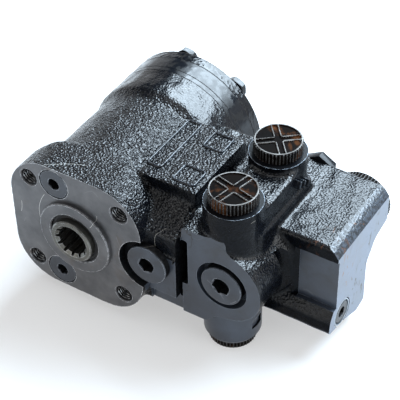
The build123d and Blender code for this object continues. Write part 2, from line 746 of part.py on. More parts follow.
def seat_valve():
    turn = Pos(0, seat_bore_y, seat_bore_z) * Rot(0, 0, 90)
    face = -side_x
    under_ring = face + seat_ring_t
    ring_in = seat_ring_r - seat_ring_w
    plug = rod(seat_plug_r, face + 0.3, face + seat_plug_len)
    plug += rod(ring_in - seat_gap, face + 0.3, under_ring)
    plug -= hexagon(6, face, face + 5, 0, 0, 15)
    save("seat_plug", turn * plug)
    save("seat_ring", turn * band(ring_in, seat_ring_r, face + 0.1, under_ring))
    spring_y0 = face + seat_plug_len + seat_gap
    spring_y1 = spring_y0 + seat_spring_len - seat_gap
    skirt_y = spring_y1 + seat_gap
    skirt_r = seat_plug_r - run_gap
    cone_y = skirt_y + seat_skirt_len
    nose_y = cone_y + seat_nose_len
    poppet = turned([(0, skirt_y + 2), (seat_stem_r, skirt_y + 2), (seat_stem_r, skirt_y),
                     (skirt_r, skirt_y), (skirt_r, cone_y), (seat_nose_r, nose_y), (0, nose_y)])
    save("seat_poppet", turn * poppet)
    save("seat_spring", turn * spring_coil(4.6, 0.9, spring_y0, spring_y1, 2, 0, 0))


# -------------------------------------------------------------------- port caps
def knurled_cap(radius, height, shank_r, shank_len, turn):
    """Threaded plastic cap: fluted rim, crossed slots on top; it stands on Z = 0."""
    flutes = 40
    outline = []
    for k in range(2 * flutes):
        a = math.pi * k / flutes
        r = radius - knurl_depth * (k % 2)
        outline.append((r * math.cos(a), r * math.sin(a)))
    cap = extrude(make_face(Polyline(*outline, close=True)), amount=height)
    cap &= Pos(0, 0, height / 2) * Cylinder(radius, height)
    arm = Pos(0, 0, height) * Box(2 * radius + 2, cross_w, 2 * cross_depth)
    cross = Rot(0, 0, turn) * arm + Rot(0, 0, turn + 90) * arm
    cap -= cross & Pos(0, 0, height) * Cylinder(radius - 1.0, 4)
    cap += Pos(0, 0, -shank_len / 2) * Cylinder(shank_r, shank_len)
    cap -= Pos(0, 0, -shank_len) * Cylinder(shank_r - 2.2, 2 * shank_len - 4)
    return cap


def port_caps():
    plain = (cap_r, cap_h, port_r - 0.03, cap_shank_len)
    save("cap_top_front", Pos(port_x, port_front_y, top_boss_z + 0.02) * knurled_cap(*plain, -13))
    save("cap_top_rear", Pos(port_x, port_rear_y, top_boss_z + 0.02) * knurled_cap(*plain, 40))
    upside = Pos(port_x, port_front_y, bottom_boss_z - 0.02) * Rot(180, 0, 0)
    save("cap_bottom", upside * knurled_cap(cap_r, low_cap_h, port_r - 0.03, cap_shank_len, 20))
    rearward = Pos(rear_port_x, block_rear_y + 0.02, rear_port_z) * Rot(-90, 0, 0)
    save("cap_rear", rearward * knurled_cap(rear_cap_r, rear_cap_h, rear_port_r - 0.03, rear_shank_len, 25))
    plug = hexagon(hex_plug_af, block_rear_y, block_rear_y + hex_plug_h, hex_plug_x, hex_plug_z, 30)
    plug += rod(hex_shank_r, block_rear_y - hex_shank_len, block_rear_y + 1, hex_plug_x, hex_plug_z)
    save("gauge_plug", plug)


save("housing", casting())
seals()
thrust_bearing()
rotary_valve()
drive_shaft()
gear_set()
closed_end()
shock_valves()
relief_valve()
priority_valve()
seat_valve()
port_caps()
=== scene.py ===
"""Orbital steering unit: finished pieces, finishes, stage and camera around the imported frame."""
import json
import math

import bmesh
import bpy
from mathutils import Matrix, Vector, noise


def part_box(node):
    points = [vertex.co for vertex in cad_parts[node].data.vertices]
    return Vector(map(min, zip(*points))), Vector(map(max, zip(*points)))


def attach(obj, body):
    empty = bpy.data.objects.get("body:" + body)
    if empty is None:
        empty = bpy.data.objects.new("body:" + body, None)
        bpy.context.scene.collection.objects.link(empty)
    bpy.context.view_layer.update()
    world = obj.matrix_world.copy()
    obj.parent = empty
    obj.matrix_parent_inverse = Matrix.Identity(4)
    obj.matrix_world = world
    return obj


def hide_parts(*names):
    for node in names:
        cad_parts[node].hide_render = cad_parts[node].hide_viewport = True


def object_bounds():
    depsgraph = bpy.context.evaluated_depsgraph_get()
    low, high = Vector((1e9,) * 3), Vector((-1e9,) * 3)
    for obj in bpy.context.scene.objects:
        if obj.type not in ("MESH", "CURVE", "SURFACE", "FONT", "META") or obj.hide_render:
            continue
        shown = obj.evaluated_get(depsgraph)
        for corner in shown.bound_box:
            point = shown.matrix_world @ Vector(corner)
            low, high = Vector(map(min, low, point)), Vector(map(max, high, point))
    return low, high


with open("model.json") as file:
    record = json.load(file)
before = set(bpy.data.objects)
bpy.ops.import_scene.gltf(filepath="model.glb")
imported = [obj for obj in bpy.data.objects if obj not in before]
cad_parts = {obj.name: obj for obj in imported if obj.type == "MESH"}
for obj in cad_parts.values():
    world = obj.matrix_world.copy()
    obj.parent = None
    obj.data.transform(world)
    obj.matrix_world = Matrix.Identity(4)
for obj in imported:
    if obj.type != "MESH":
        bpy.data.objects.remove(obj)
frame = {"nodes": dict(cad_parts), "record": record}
cad_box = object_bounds()
MM = 0.001

# ---------------------------------------------------------------- sizes, in mm
FLANGE_HALF = 42.5
FLANGE_CORNER_R = 26.0
LUG_END = 16.0
LUG_BLEND = 26.0
BODY_R = 42.5
REAR_R = 45.0
STEP_START = 77.0
STEP_END = 82.0
HOUSING_REAR = 101.0
PILOT_R = 22.8
PILOT_H = 2.5
TAP_SPAN = 29.168
TAP_R = 4.25
SHOCK_X = -12.5
SHOCK_Z = 31.5
SHOCK_R = 9.1
RELIEF_X = 44.4
RELIEF_Z = -0.5
RELIEF_FLOOR = 5.5
RELIEF_RIGHT = 60.1
RELIEF_STEP_Z = -20.8
RELIEF_STEP_Y = 10.0
NOTCH_R = 16.5
VALVE_X = 86.7
VALVE_FACE = 8.5
VALVE_LEFT = 62.5
VALVE_BOTTOM = -31.5
NOSE_R = 23.4
COUNTER_R = 15.2
BLOCK_REAR = 98.0
PORT_X = 84.5
PORT_FRONT = 24.0
PORT_REAR = 69.8
BOSS_R = 16.0
BOSS_TOP = 47.5
BOSS_BOTTOM = -44.0
MARK_FACE = 103.2
CAP_RIM = 13.4
CAP_SHANK_R = 7.97
CAP_SHANK = 9.0
CAP_RIBS = 44
WEB_TOP = 43.5
REAR_PORT_X = 120.3
REAR_PORT_Z = 5.5
SIDE_X = 138.0
SIDE_TOP = 24.0
SIDE_FRONT = 39.5
SEAT_Y = 48.7
SEAT_Z = -27.7
PAD_TOP = 41.5


# --------------------------------------------------------------- mesh building
def prism(outline, low, high, axis):
    """Straight bar with a drawn outline along one axis."""
    count = len(outline)
    points = []
    for s in (low, high):
        for u, v in outline:
            points.append({"X": (s, u, v), "Y": (u, s, v), "Z": (u, v, s)}[axis])
    faces = [tuple(range(count)), tuple(range(count, 2 * count))]
    for k in range(count):
        n = (k + 1) % count
        faces.append((k, n, count + n, count + k))
    return points, faces


def rounded(u0, u1, v0, v1, r, steps=6):
    """Outline of a rectangle with rounded corners."""
    out = []
    corners = ((u1 - r, v1 - r, 0), (u0 + r, v1 - r, 90), (u0 + r, v0 + r, 180), (u1 - r, v0 + r, 270))
    for cu, cv, a0 in corners:
        for k in range(steps + 1):
            a = math.radians(a0 + 90.0 * k / steps)
            out.append((cu + r * math.cos(a), cv + r * math.sin(a)))
    return out


def block(x0, x1, y0, y1, z0, z1):
    return prism([(x0, y0), (x1, y0), (x1, y1), (x0, y1)], z0, z1, "Z")


def lathe(profile, centre, axis, count=96):
    """Turned piece: closed outline of radius and station about an axis."""
    points = []
    index = []
    for r, s in profile:
        if r < 1e-6:
            index.append([len(points)] * count)
            points.append(on_axis(0, 0, s, centre, axis))
            continue
        index.append(list(range(len(points), len(points) + count)))
        for k in range(count):
            a = 2 * math.pi * k / count
            points.append(on_axis(r * math.cos(a), r * math.sin(a), s, centre, axis))
    faces = []
    rows = len(profile)
    for j in range(rows):
        here = index[j]
        there = index[(j + 1) % rows]
        for k in range(count):
            n = (k + 1) % count
            corner = []
            for i in (here[k], here[n], there[n], there[k]):
                if i not in corner:
                    corner.append(i)
            if len(corner) > 2:
                faces.append(tuple(corner))
    return points, faces


def on_axis(u, v, s, centre, axis):
    a, b = centre
    return {"X": (s, a + u, b + v), "Y": (a + u, s, b + v), "Z": (a + u, b + v, s)}[axis]


def rod(r, low, high, centre, axis="Y", count=96):
    return lathe([(0, low), (r, low), (r, high), (0, high)], centre, axis, count)


def radial_loft(stations, count=192):
    """Closed body about the Y axis from stations of Y and a radius for each angle."""
    points = []
    faces = []
    for y, radius in stations:
        for k in range(count):
            a = 2 * math.pi * k / count
            r = radius(a)
            points.append((r * math.cos(a), y, r * math.sin(a)))
    for j in range(len(stations) - 1):
        for k in range(count):
            n = (k + 1) % count
            faces.append((j * count + k, j * count + n, (j + 1) * count + n, (j + 1) * count + k))
    last = (len(stations) - 1) * count
    faces.append(tuple(range(count)))
    faces.append(tuple(range(last, last + count)))
    return points, faces


def piece(name, parts, materials, smooth=None, index=0):
    """One object from closed parts given in mm, with its faces turned outwards."""
    mesh = bpy.data.meshes.new(name)
    points = []
    faces = []
    for part_points, part_faces in parts:
        start = len(points)
        points += [(x * MM, y * MM, z * MM) for x, y, z in part_points]
        faces += [tuple(i + start for i in f) for f in part_faces]
    mesh.from_pydata(points, [], faces)
    obj = bpy.data.objects.new(name, mesh)
    bpy.context.scene.collection.objects.link(obj)
    tidy_mesh(mesh)
    for m in materials:
        mesh.materials.append(m)
    for p in mesh.polygons:
        p.material_index = index
    if smooth is not None:
        shade(mesh, smooth)
    return obj


def tidy_mesh(mesh):
    bm = bmesh.new()
    bm.from_mesh(mesh)
    bmesh.ops.remove_doubles(bm, verts=bm.verts, dist=1e-7)
    bmesh.ops.recalc_face_normals(bm, faces=bm.faces)
    bm.to_mesh(mesh)
    bm.free()


def shade(mesh, angle):
    for p in mesh.polygons:
        p.use_smooth = True
    mesh.set_sharp_from_angle(angle=math.radians(angle))


def settled(obj):
    """Mesh of an object with its modifiers applied, and the modifiers taken off."""
    graph = bpy.context.evaluated_depsgraph_get()
    graph.update()
    mesh = bpy.data.meshes.new_from_object(obj.evaluated_get(graph), depsgraph=graph)
    materials = list(obj.data.materials)
    obj.modifiers.clear()
    obj.data = mesh
    index = [p.material_index for p in mesh.polygons]
    mesh.materials.clear()
    for m in materials:
        mesh.materials.append(m)
    mesh.polygons.foreach_set("material_index", index)
    return obj


def combined(base, others, operation):
    for k, other in enumerate(others):
        m = base.modifiers.new("cut_%d" % k, "BOOLEAN")
        m.operation = operation
        m.solver = "MANIFOLD"
        m.object = other
    settled(base)
    for other in others:
        bpy.data.objects.remove(other)
    return base


# ------------------------------------------------------------ node-tree helpers
def srgb(r, g, b):
    """Linear colour from display values of 0 to 255."""
    out = []
    for c in (r, g, b):
        c = c / 255.0
        out.append(c / 12.92 if c <= 0.04045 else ((c + 0.055) / 1.055) ** 2.4)
    return tuple(out) + (1.0,)


class Tree:
    """Short names for adding and joining shader nodes."""

    def __init__(self, tree):
        self.tree = tree

    def put(self, kind, inputs=None, **settings):
        node = self.tree.nodes.new(kind)
        for key, value in settings.items():
            setattr(node, key, value)
        for key, value in (inputs or {}).items():
            self.feed(node.inputs[key], value)
        return node

    def feed(self, socket, value):
        if isinstance(value, bpy.types.NodeSocket):
            self.tree.links.new(value, socket)
        else:
            socket.default_value = value

    def math(self, operation, a, b=0.5, clamp=False):
        node = self.put("ShaderNodeMath", {0: a, 1: b}, operation=operation, use_clamp=clamp)
        return node.outputs[0]

    def span(self, value, low, high, to_low=0.0, to_high=1.0):
        node = self.put("ShaderNodeMapRange", {
            "Value": value, "From Min": low, "From Max": high, "To Min": to_low, "To Max": to_high})
        node.clamp = True
        return node.outputs["Result"]

    def blend(self, factor, a, b, kind="MIX"):
        node = self.put("ShaderNodeMix", data_type="RGBA", blend_type=kind)
        self.feed(node.inputs[0], factor)
        self.feed(node.inputs[6], a)
        self.feed(node.inputs[7], b)
        return node.outputs[2]

    def noise(self, where, scale, detail=3.0, roughness=0.55, distortion=0.0):
        node = self.put("ShaderNodeTexNoise", {
            "Vector": where, "Scale": scale, "Detail": detail, "Roughness": roughness,
            "Distortion": distortion})
        return node.outputs["Fac"]

    def cells(self, where, scale, feature="SMOOTH_F1"):
        node = self.put("ShaderNodeTexVoronoi", feature=feature)
        self.feed(node.inputs["Vector"], where)
        self.feed(node.inputs["Scale"], scale)
        return node.outputs["Distance"]

    def stretch(self, where, scale, turn=(0, 0, 0), shift=(0, 0, 0)):
        node = self.put("ShaderNodeMapping", {"Vector": where})
        node.inputs["Scale"].default_value = scale
        node.inputs["Rotation"].default_value = turn
        node.inputs["Location"].default_value = shift
        return node.outputs["Vector"]


def group(name, inputs, outputs):
    """New shader node group with named float or vector inputs and outputs."""
    tree = bpy.data.node_groups.new(name, "ShaderNodeTree")
    kinds = {"f": "NodeSocketFloat", "v": "NodeSocketVector", "c": "NodeSocketColor"}
    for label, kind, value in inputs:
        socket = tree.interface.new_socket(name=label, in_out="INPUT", socket_type=kinds[kind])
        if value is not None:
            socket.default_value = value
    for label, kind in outputs:
        tree.interface.new_socket(name=label, in_out="OUTPUT", socket_type=kinds[kind])
    t = Tree(tree)
    t.ins = t.put("NodeGroupInput").outputs
    t.outs = t.put("NodeGroupOutput").inputs
    return t


def use(t, made, **inputs):
    node = t.put("ShaderNodeGroup")
    node.node_tree = made.tree
    for key, value in inputs.items():
        t.feed(node.inputs[key.replace("_", " ")], value)
    return node.outputs


# ------------------------------------------------------------ shared effects
def make_cast_grain():
    """Pebbled sand-cast skin: height for bump, and a mask of the highest grains."""
    t = group("cast_grain", [("Position", "v", None), ("Grain", "f", 620.0)],
              [("Height", "f"), ("Tips", "f")])
    p = t.ins["Position"]
    grain = t.ins["Grain"]
    coarse = t.noise(p, t.math("MULTIPLY", grain, 0.42), 2.0, 0.5)
    fine = t.noise(p, grain, 0.0, 0.5, 0.2)
    pebble = t.cells(p, t.math("MULTIPLY", grain, 1.25))
    body = t.math("MULTIPLY", fine, 0.75)
    body = t.math("ADD", body, t.math("MULTIPLY", coarse, 0.35))
    body = t.math("SUBTRACT", body, t.math("MULTIPLY", pebble, 0.35))
    t.feed(t.outs["Height"], body)
    t.feed(t.outs["Tips"], t.span(body, 0.30, 0.52))
    return t


def make_edge_wear_and_highlight():
    """Mask along crisp edges, broken up by noise: worn pale edges together with a painted highlight along
    the edges.
    """
    t = group("edge_wear_and_highlight", [("Position", "v", None), ("Width", "f", 0.0006), ("Break", "f", 500.0)],
              [("Mask", "f")])
    soft = t.put("ShaderNodeBevel", {"Radius": t.ins["Width"]}, samples=6)
    plain = t.put("ShaderNodeNewGeometry")
    dot = t.put("ShaderNodeVectorMath", operation="DOT_PRODUCT")
    t.feed(dot.inputs[0], soft.outputs["Normal"])
    t.feed(dot.inputs[1], plain.outputs["Normal"])
    edge = t.span(dot.outputs["Value"], 0.995, 0.90)
    broken = t.span(t.noise(t.ins["Position"], t.ins["Break"], 4.0, 0.65), 0.38, 0.62)
    t.feed(t.outs["Mask"], t.math("MULTIPLY", edge, broken, clamp=True))
    return t


def make_patches():
    """Soft-edged patches such as stains, rust or worn paint."""
    t = group("patches", [("Position", "v", None), ("Size", "f", 60.0), ("Low", "f", 0.55),
                          ("High", "f", 0.62)], [("Mask", "f")])
    base = t.noise(t.ins["Position"], t.ins["Size"], 6.0, 0.62, 0.6)
    node = t.put("ShaderNodeMapRange", {"Value": base, "From Min": t.ins["Low"],
                                        "From Max": t.ins["High"]})
    t.feed(t.outs["Mask"], node.outputs["Result"])
    return t


def make_tool_marks():
    """Fine straight or slightly wavy cutter marks across a milled face."""
    t = group("tool_marks", [("Position", "v", None), ("Pitch", "f", 1500.0)], [("Height", "f")])
    p = t.stretch(t.ins["Position"], (1.0, 1.0, 0.08))
    lines = t.noise(p, t.ins["Pitch"], 2.0, 0.5)
    t.feed(t.outs["Height"], lines)
    return t


def make_near_streaks():
    """Short broken streaks kept near one place: rust runs and chafed spots."""
    t = group("near_streaks", [("Position", "v", None), ("Centre", "v", None), ("Reach", "f", 0.01),
                               ("Size", "f", 330.0), ("Low", "f", 0.56)], [("Mask", "f")])
    p = t.ins["Position"]
    away = t.put("ShaderNodeVectorMath", {0: p, 1: t.ins["Centre"]}, operation="DISTANCE").outputs["Value"]
    near = t.put("ShaderNodeMapRange", {"Value": away, "From Min": t.ins["Reach"], "From Max": 0.0})
    runs = t.noise(t.stretch(p, (1.0, 1.0, 0.42), (0.5, 0.0, 0.0)), t.ins["Size"], 4.0, 0.6, 0.8)
    shape = t.put("ShaderNodeMapRange", {"Value": runs, "From Min": t.ins["Low"],
                                         "From Max": t.math("ADD", t.ins["Low"], 0.04)})
    gain = t.math("MULTIPLY", near.outputs["Result"], 2.5, True)
    t.feed(t.outs["Mask"], t.math("MULTIPLY", shape.outputs["Result"], gain))
    return t


def make_scratches():
    """Thin wandering lines, cut into lengths and kept to a few places."""
    t = group("scratches", [("Position", "v", None), ("Size", "f", 30.0), ("Thin", "f", 0.004),
                            ("Keep", "f", 0.56)], [("Mask", "f")])
    p = t.ins["Position"]
    wander = t.noise(p, t.ins["Size"], 0.0, 0.5, 0.35)
    away = t.math("ABSOLUTE", t.math("SUBTRACT", wander, 0.5))
    line = t.put("ShaderNodeMapRange", {"Value": away, "From Min": 0.0, "From Max": t.ins["Thin"],
                                        "To Min": 1.0, "To Max": 0.0})
    place = t.noise(p, t.math("MULTIPLY", t.ins["Size"], 1.7), 2.0, 0.5)
    kept = t.math("GREATER_THAN", place, t.ins["Keep"])
    t.feed(t.outs["Mask"], t.math("MULTIPLY", line.outputs["Result"], kept))
    return t


def make_arc():
    """One thin scratch: the part of a ball's skin that lies toward a given side of its centre."""
    t = group("arc_scratch", [("Position", "v", None), ("Centre", "v", None), ("Radius", "f", 0.02),
                              ("Toward", "v", None), ("Reach", "f", 0.95), ("Thin", "f", 0.00015)],
              [("Mask", "f")])
    away = t.put("ShaderNodeVectorMath", {0: t.ins["Position"], 1: t.ins["Centre"]}, operation="SUBTRACT")
    length = t.put("ShaderNodeVectorMath", {0: away.outputs["Vector"]}, operation="LENGTH").outputs["Value"]
    wobble = t.math("MULTIPLY", t.noise(t.ins["Position"], 160.0, 1.0), 0.0006)
    off = t.math("ABSOLUTE", t.math("SUBTRACT", t.math("ADD", length, wobble), t.ins["Radius"]))
    line = t.put("ShaderNodeMapRange", {"Value": off, "From Min": 0.0, "From Max": t.ins["Thin"],
                                        "To Min": 1.0, "To Max": 0.0}).outputs["Result"]
    unit = t.put("ShaderNodeVectorMath", {0: away.outputs["Vector"]}, operation="NORMALIZE")
    side = t.put("ShaderNodeVectorMath", {0: unit.outputs["Vector"], 1: t.ins["Toward"]},
                 operation="DOT_PRODUCT").outputs["Value"]
    t.feed(t.outs["Mask"], t.math("MULTIPLY", line, t.math("GREATER_THAN", side, t.ins["Reach"])))
    return t


ARC = make_arc()
NEAR_STREAKS = make_near_streaks()
CAST_GRAIN = make_cast_grain()
EDGE_WEAR_AND_HIGHLIGHT = make_edge_wear_and_highlight()
PATCHES = make_patches()
TOOL_MARKS = make_tool_marks()
SCRATCHES = make_scratches()


# ------------------------------------------------------------------- finishes
def new_finish(name):
    m = bpy.data.materials.new(name)
    m.use_nodes = True
    m.node_tree.nodes.clear()
    t = Tree(m.node_tree)
    t.shader = t.put("ShaderNodeBsdfPrincipled")
    out = t.put("ShaderNodeOutputMaterial")
    t.feed(out.inputs["Surface"], t.shader.outputs["BSDF"])
    t.where = t.put("ShaderNodeTexCoord").outputs["Object"]
    return m, t


def bump(t, height, depth, normal=None):
    node = t.put("ShaderNodeBump", {"Height": height, "Distance": depth})
    if normal is not None:
        t.feed(node.inputs["Normal"], normal)
    return node.outputs["Normal"]


def cast_paint(name, dark, light, rust, grain=880.0, depth=0.0011, gloss=0.12, smooth_rear=False):
    """Glossy black paint over pebbled iron: rough in the hollows, shiny on the grains."""
    m, t = new_finish(name)
    g = use(t, CAST_GRAIN, Position=t.where, Grain=grain)
    dust = t.noise(t.where, 46.0, 4.0, 0.6)
    # lighter grain tips: worn paint, and a painted glint standing in for light on the grains
    tone = t.blend(g["Tips"], dark, light)
    tone = t.blend(t.span(dust, 0.45, 0.75, 0.0, 0.3), tone, srgb(24, 28, 34))
    spots = use(t, PATCHES, Position=t.where, Size=90.0, Low=0.68, High=0.74)["Mask"]
    tone = t.blend(t.math("MULTIPLY", spots, 0.2), tone, rust)
    lines = use(t, SCRATCHES, Position=t.where, Size=26.0, Thin=0.003, Keep=0.64)["Mask"]
    tone = t.blend(t.math("MULTIPLY", lines, 0.5), tone, srgb(190, 186, 178))
    t.feed(t.shader.inputs["Base Color"], tone)
    t.feed(t.shader.inputs["Roughness"], t.span(g["Tips"], 0.0, 1.0, gloss + 0.18, gloss))
    height = g["Height"]
    if smooth_rear:
        place = t.put("ShaderNodeSeparateXYZ", {"Vector": t.where})
        rear = t.span(place.outputs["Y"], 0.074, 0.084, 1.0, 0.16)
        block_side = t.span(place.outputs["X"], 0.050, 0.058, 0.0, 1.0)
        height = t.math("MULTIPLY", height, t.math("MAXIMUM", rear, block_side))
        height = t.math("MULTIPLY", height, t.span(place.outputs["X"], 0.060, 0.070, 1.0, 0.42))
        block_dull = t.span(place.outputs["X"], 0.095, 0.115, 1.0, 0.68)
        height = t.math("MULTIPLY", height, t.span(place.outputs["X"], 0.093, 0.103, 1.0, 0.65))
    facing = t.put("ShaderNodeSeparateXYZ", {"Vector": t.put("ShaderNodeNewGeometry").outputs["Normal"]})
    level = t.span(facing.outputs["Z"], 0.1, 0.75, 0.08, 0.45)
    height = t.math("MULTIPLY", height, t.span(facing.outputs["Z"], 0.0, 0.7, 0.3, 1.0))
    if smooth_rear:
        level = t.math("MULTIPLY", level, block_dull)
    t.feed(t.shader.inputs["Specular IOR Level"], level)
    runs = bump(t, t.noise(t.where, 120.0, 0.0, 0.5), 0.0008 if smooth_rear else 0.0)
    t.feed(t.shader.inputs["Normal"], bump(t, height, depth, runs))
    return m


def milled(name, base, pale, stain, rough=0.42, metal=0.0, edge=srgb(170, 176, 182), shine=0.5,
           scratch=srgb(150, 154, 160), scratched=0.5, edge_width=0.0007, edge_gain=0.75,
           stain_gain=0.35, stain_low=0.56):
    m, t = new_finish(name)
    cloud = t.noise(t.where, 70.0, 5.0, 0.6)
    tone = t.blend(t.span(cloud, 0.35, 0.68), base, pale)
    patch = use(t, PATCHES, Position=t.where, Size=55.0, Low=stain_low,
                High=stain_low + 0.1)["Mask"]
    tone = t.blend(t.math("MULTIPLY", patch, stain_gain), tone, stain)
    wear_and_highlight = use(t, EDGE_WEAR_AND_HIGHLIGHT, Position=t.where, Width=edge_width, Break=420.0)["Mask"]
    # pale edge colour: worn edges and a painted edge highlight
    tone = t.blend(t.math("MULTIPLY", wear_and_highlight, edge_gain, True), tone, edge)
    lines = use(t, SCRATCHES, Position=t.where, Size=38.0, Thin=0.005, Keep=0.58)["Mask"]
    tone = t.blend(t.math("MULTIPLY", lines, scratched), tone, scratch)
    marks = use(t, TOOL_MARKS, Position=t.where, Pitch=1400.0)["Height"]
    t.feed(t.shader.inputs["Base Color"], tone)
    t.feed(t.shader.inputs["Metallic"], metal)
    t.feed(t.shader.inputs["Specular IOR Level"], shine)
    t.feed(t.shader.inputs["Roughness"], t.span(cloud, 0.3, 0.7, rough - 0.06, rough + 0.08))
    t.feed(t.shader.inputs["Normal"], bump(t, marks, 0.00003))
    return m


CAST = cast_paint("cast_black", srgb(4, 5, 7), srgb(12, 14, 19), srgb(60, 38, 26), smooth_rear=True)
CAST_END = cast_paint("cast_cover", srgb(5, 6, 8), srgb(14, 16, 21), srgb(60, 38, 26), 420.0, 0.0004)
SMOOTH_PAINT = cast_paint("smooth_black", srgb(6, 7, 10), srgb(14, 17, 22), srgb(46, 32, 24), 260.0,
                          0.00012, 0.16)
# lighter paint on the raised frames and bars: worn paint, and a painted highlight on the raised edges
PAD_EDGE = cast_paint("pad_edge_black", srgb(16, 18, 22), srgb(44, 50, 58), srgb(92, 58, 38), 820.0,
                      0.0003)
WORN_EDGE = cast_paint("worn_edge", srgb(30, 33, 38), srgb(66, 73, 82), srgb(122, 78, 50), 700.0,
                       0.0003, 0.22)
# black finish used as painted shade in slots, notches, sockets, thread roots and plug sides
RECESS_SHADE = cast_paint("recess_painted_shade", srgb(8, 8, 10), srgb(16, 17, 20), srgb(30, 24, 20), 500.0, 0.0004, 0.4)
# the bright bluish edge on the boss tops is a painted highlight where the rim catches the light
BOSS_TOP_DARK = milled("boss_top_black", srgb(14, 15, 18), srgb(26, 28, 32), srgb(30, 26, 24), 0.34, 0.0,
                       srgb(196, 208, 222), 0.12, edge_gain=1.2)
# the near-white flange edges are worn metal and a painted edge highlight
FLANGE_FACE = milled("flange_machined", srgb(78, 79, 82), srgb(104, 104, 106), srgb(84, 72, 62), 0.36,
                     0.6, srgb(224, 226, 230), scratched=0.25, edge_width=0.0007, edge_gain=1.2)
FACE_DARK = milled("face_phosphated", srgb(46, 51, 60), srgb(58, 65, 76), srgb(40, 40, 42), 0.34, 0.0,
                   srgb(120, 130, 142), 0.45, scratched=0.08)
SIDE_PALE = milled("side_machined", srgb(84, 93, 107), srgb(106, 116, 132), srgb(80, 72, 68), 0.34, 0.2,
                   scratch=srgb(96, 58, 36), scratched=0.9)
BORE = milled("bore_machined", srgb(40, 43, 47), srgb(60, 64, 70), srgb(60, 48, 38), 0.4, 0.6)
STEEL = milled("ground_steel", srgb(120, 130, 140), srgb(146, 155, 164), srgb(84, 80, 78), 0.3, 0.85)
BLACK_BOLT = milled("bolt_black", srgb(34, 36, 39), srgb(48, 51, 55), srgb(66, 50, 38), 0.4, 0.5)
WASHER = milled("washer_steel", srgb(120, 122, 124), srgb(146, 148, 150), srgb(96, 80, 66), 0.38, 0.8)
PLUG = milled("plug_grey", srgb(46, 50, 57), srgb(62, 67, 76), srgb(44, 41, 40), 0.34, 0.3,
              srgb(190, 198, 208))
THREAD = milled("thread_steel", srgb(120, 121, 122), srgb(150, 150, 150), srgb(84, 70, 56), 0.25, 0.85)
PLUG_DARK = milled("plug_black", srgb(18, 19, 22), srgb(30, 32, 36), srgb(60, 46, 36), 0.26, 0.0,
                   srgb(110, 116, 124), 0.2)
CAP = milled("cap_moulded", srgb(5, 4, 4), srgb(16, 10, 7), srgb(104, 62, 32), 0.45, 0.0,
             srgb(30, 22, 18), 0.02, scratched=0.0, stain_gain=0.5, stain_low=0.51)
CAP_RIDGE = milled("cap_worn_ridge", srgb(52, 46, 42), srgb(150, 148, 145), srgb(20, 15, 12), 0.35, 0.0,
                   srgb(170, 168, 166), 0.25, scratched=0.0, stain_gain=0.9, stain_low=0.52)
CAP_RIB = milled("cap_rib", srgb(9, 8, 8), srgb(20, 16, 14), srgb(50, 34, 24), 0.3, 0.0,
                 srgb(150, 150, 150), 0.2, scratched=0.0)
RUBBER = milled("seal_rubber", srgb(20, 20, 21), srgb(30, 30, 31), srgb(28, 27, 26), 0.6,
                edge=srgb(44, 44, 45))
VALVE_STEEL = milled("valve_steel", srgb(84, 84, 80), srgb(112, 111, 106), srgb(80, 68, 52), 0.3, 0.85,
                     srgb(220, 222, 224))
BEARING = milled("bearing_steel", srgb(150, 152, 156), srgb(176, 178, 182), srgb(120, 110, 96), 0.2, 0.95)
SPRING = milled("spring_steel", srgb(92, 92, 96), srgb(112, 112, 116), srgb(76, 60, 48), 0.35, 0.8)

def arc_scratches(material, arcs, colour):
    """Long curved scratches over a finish; each is a ring through its centre, cut to one side."""
    t = Tree(material.node_tree)
    shader = next(n for n in material.node_tree.nodes if n.type == "BSDF_PRINCIPLED")
    where = t.put("ShaderNodeTexCoord").outputs["Object"]
    tone = shader.inputs["Base Color"].links[0].from_socket
    for centre, radius, toward, reach in arcs:
        mask = use(t, ARC, Position=where, Centre=Vector(centre) * MM, Radius=radius * MM,
                   Toward=Vector(toward).normalized(), Reach=reach)["Mask"]
        tone = t.blend(mask, tone, colour)
    t.feed(shader.inputs["Base Color"], tone)


arc_scratches(FLANGE_FACE, [
    ((2, 0, 6), 26.7, (-25.5, 0, 6.5), 0.93),
    ((2, 0, 22), 13.2, (12, 0, -5), 0.93),
    ((-60, 0, 8), 24.0, (24, 0, -3), 0.985),
], srgb(226, 224, 220))
arc_scratches(CAST, [((21.3, -44.2, 42.0), 59.8, (-30.5, 50.5, 0), 0.978)], srgb(200, 198, 192))


def place_streaks(material, spots, colour):
    """Rust or chafing over a finish near named places: centre and reach in mm, and how sparse."""
    t = Tree(material.node_tree)
    shader = next(n for n in material.node_tree.nodes if n.type == "BSDF_PRINCIPLED")
    where = t.put("ShaderNodeTexCoord").outputs["Object"]
    tone = shader.inputs["Base Color"].links[0].from_socket
    for centre, reach, sparse in spots:
        mask = use(t, NEAR_STREAKS, Position=where, Centre=Vector(centre) * MM, Reach=reach * MM,
                   Low=sparse)["Mask"]
        tone = t.blend(mask, tone, colour)
    t.feed(shader.inputs["Base Color"], tone)


place_streaks(SIDE_PALE, [((138, 46, -3), 16, 0.60), ((138, 44, 12), 12, 0.62)], srgb(104, 62, 38))
place_streaks(SIDE_PALE, [((138, 68, -20), 18, 0.60), ((138, 84, 4), 14, 0.61)], srgb(40, 38, 40))
place_streaks(CAST, [((127, 38, 22), 7, 0.58), ((115, 37, 22), 7, 0.60),
                     ((128, 52, 24), 6, 0.62)], srgb(74, 48, 34))
place_streaks(WORN_EDGE, [((134, 46, 22), 9, 0.6), ((134, 72, 22), 12, 0.62)], srgb(78, 52, 38))
place_streaks(FACE_DARK, [((66, 8, 24), 7, 0.56), ((60, 9, -12), 8, 0.58)], srgb(28, 27, 27))


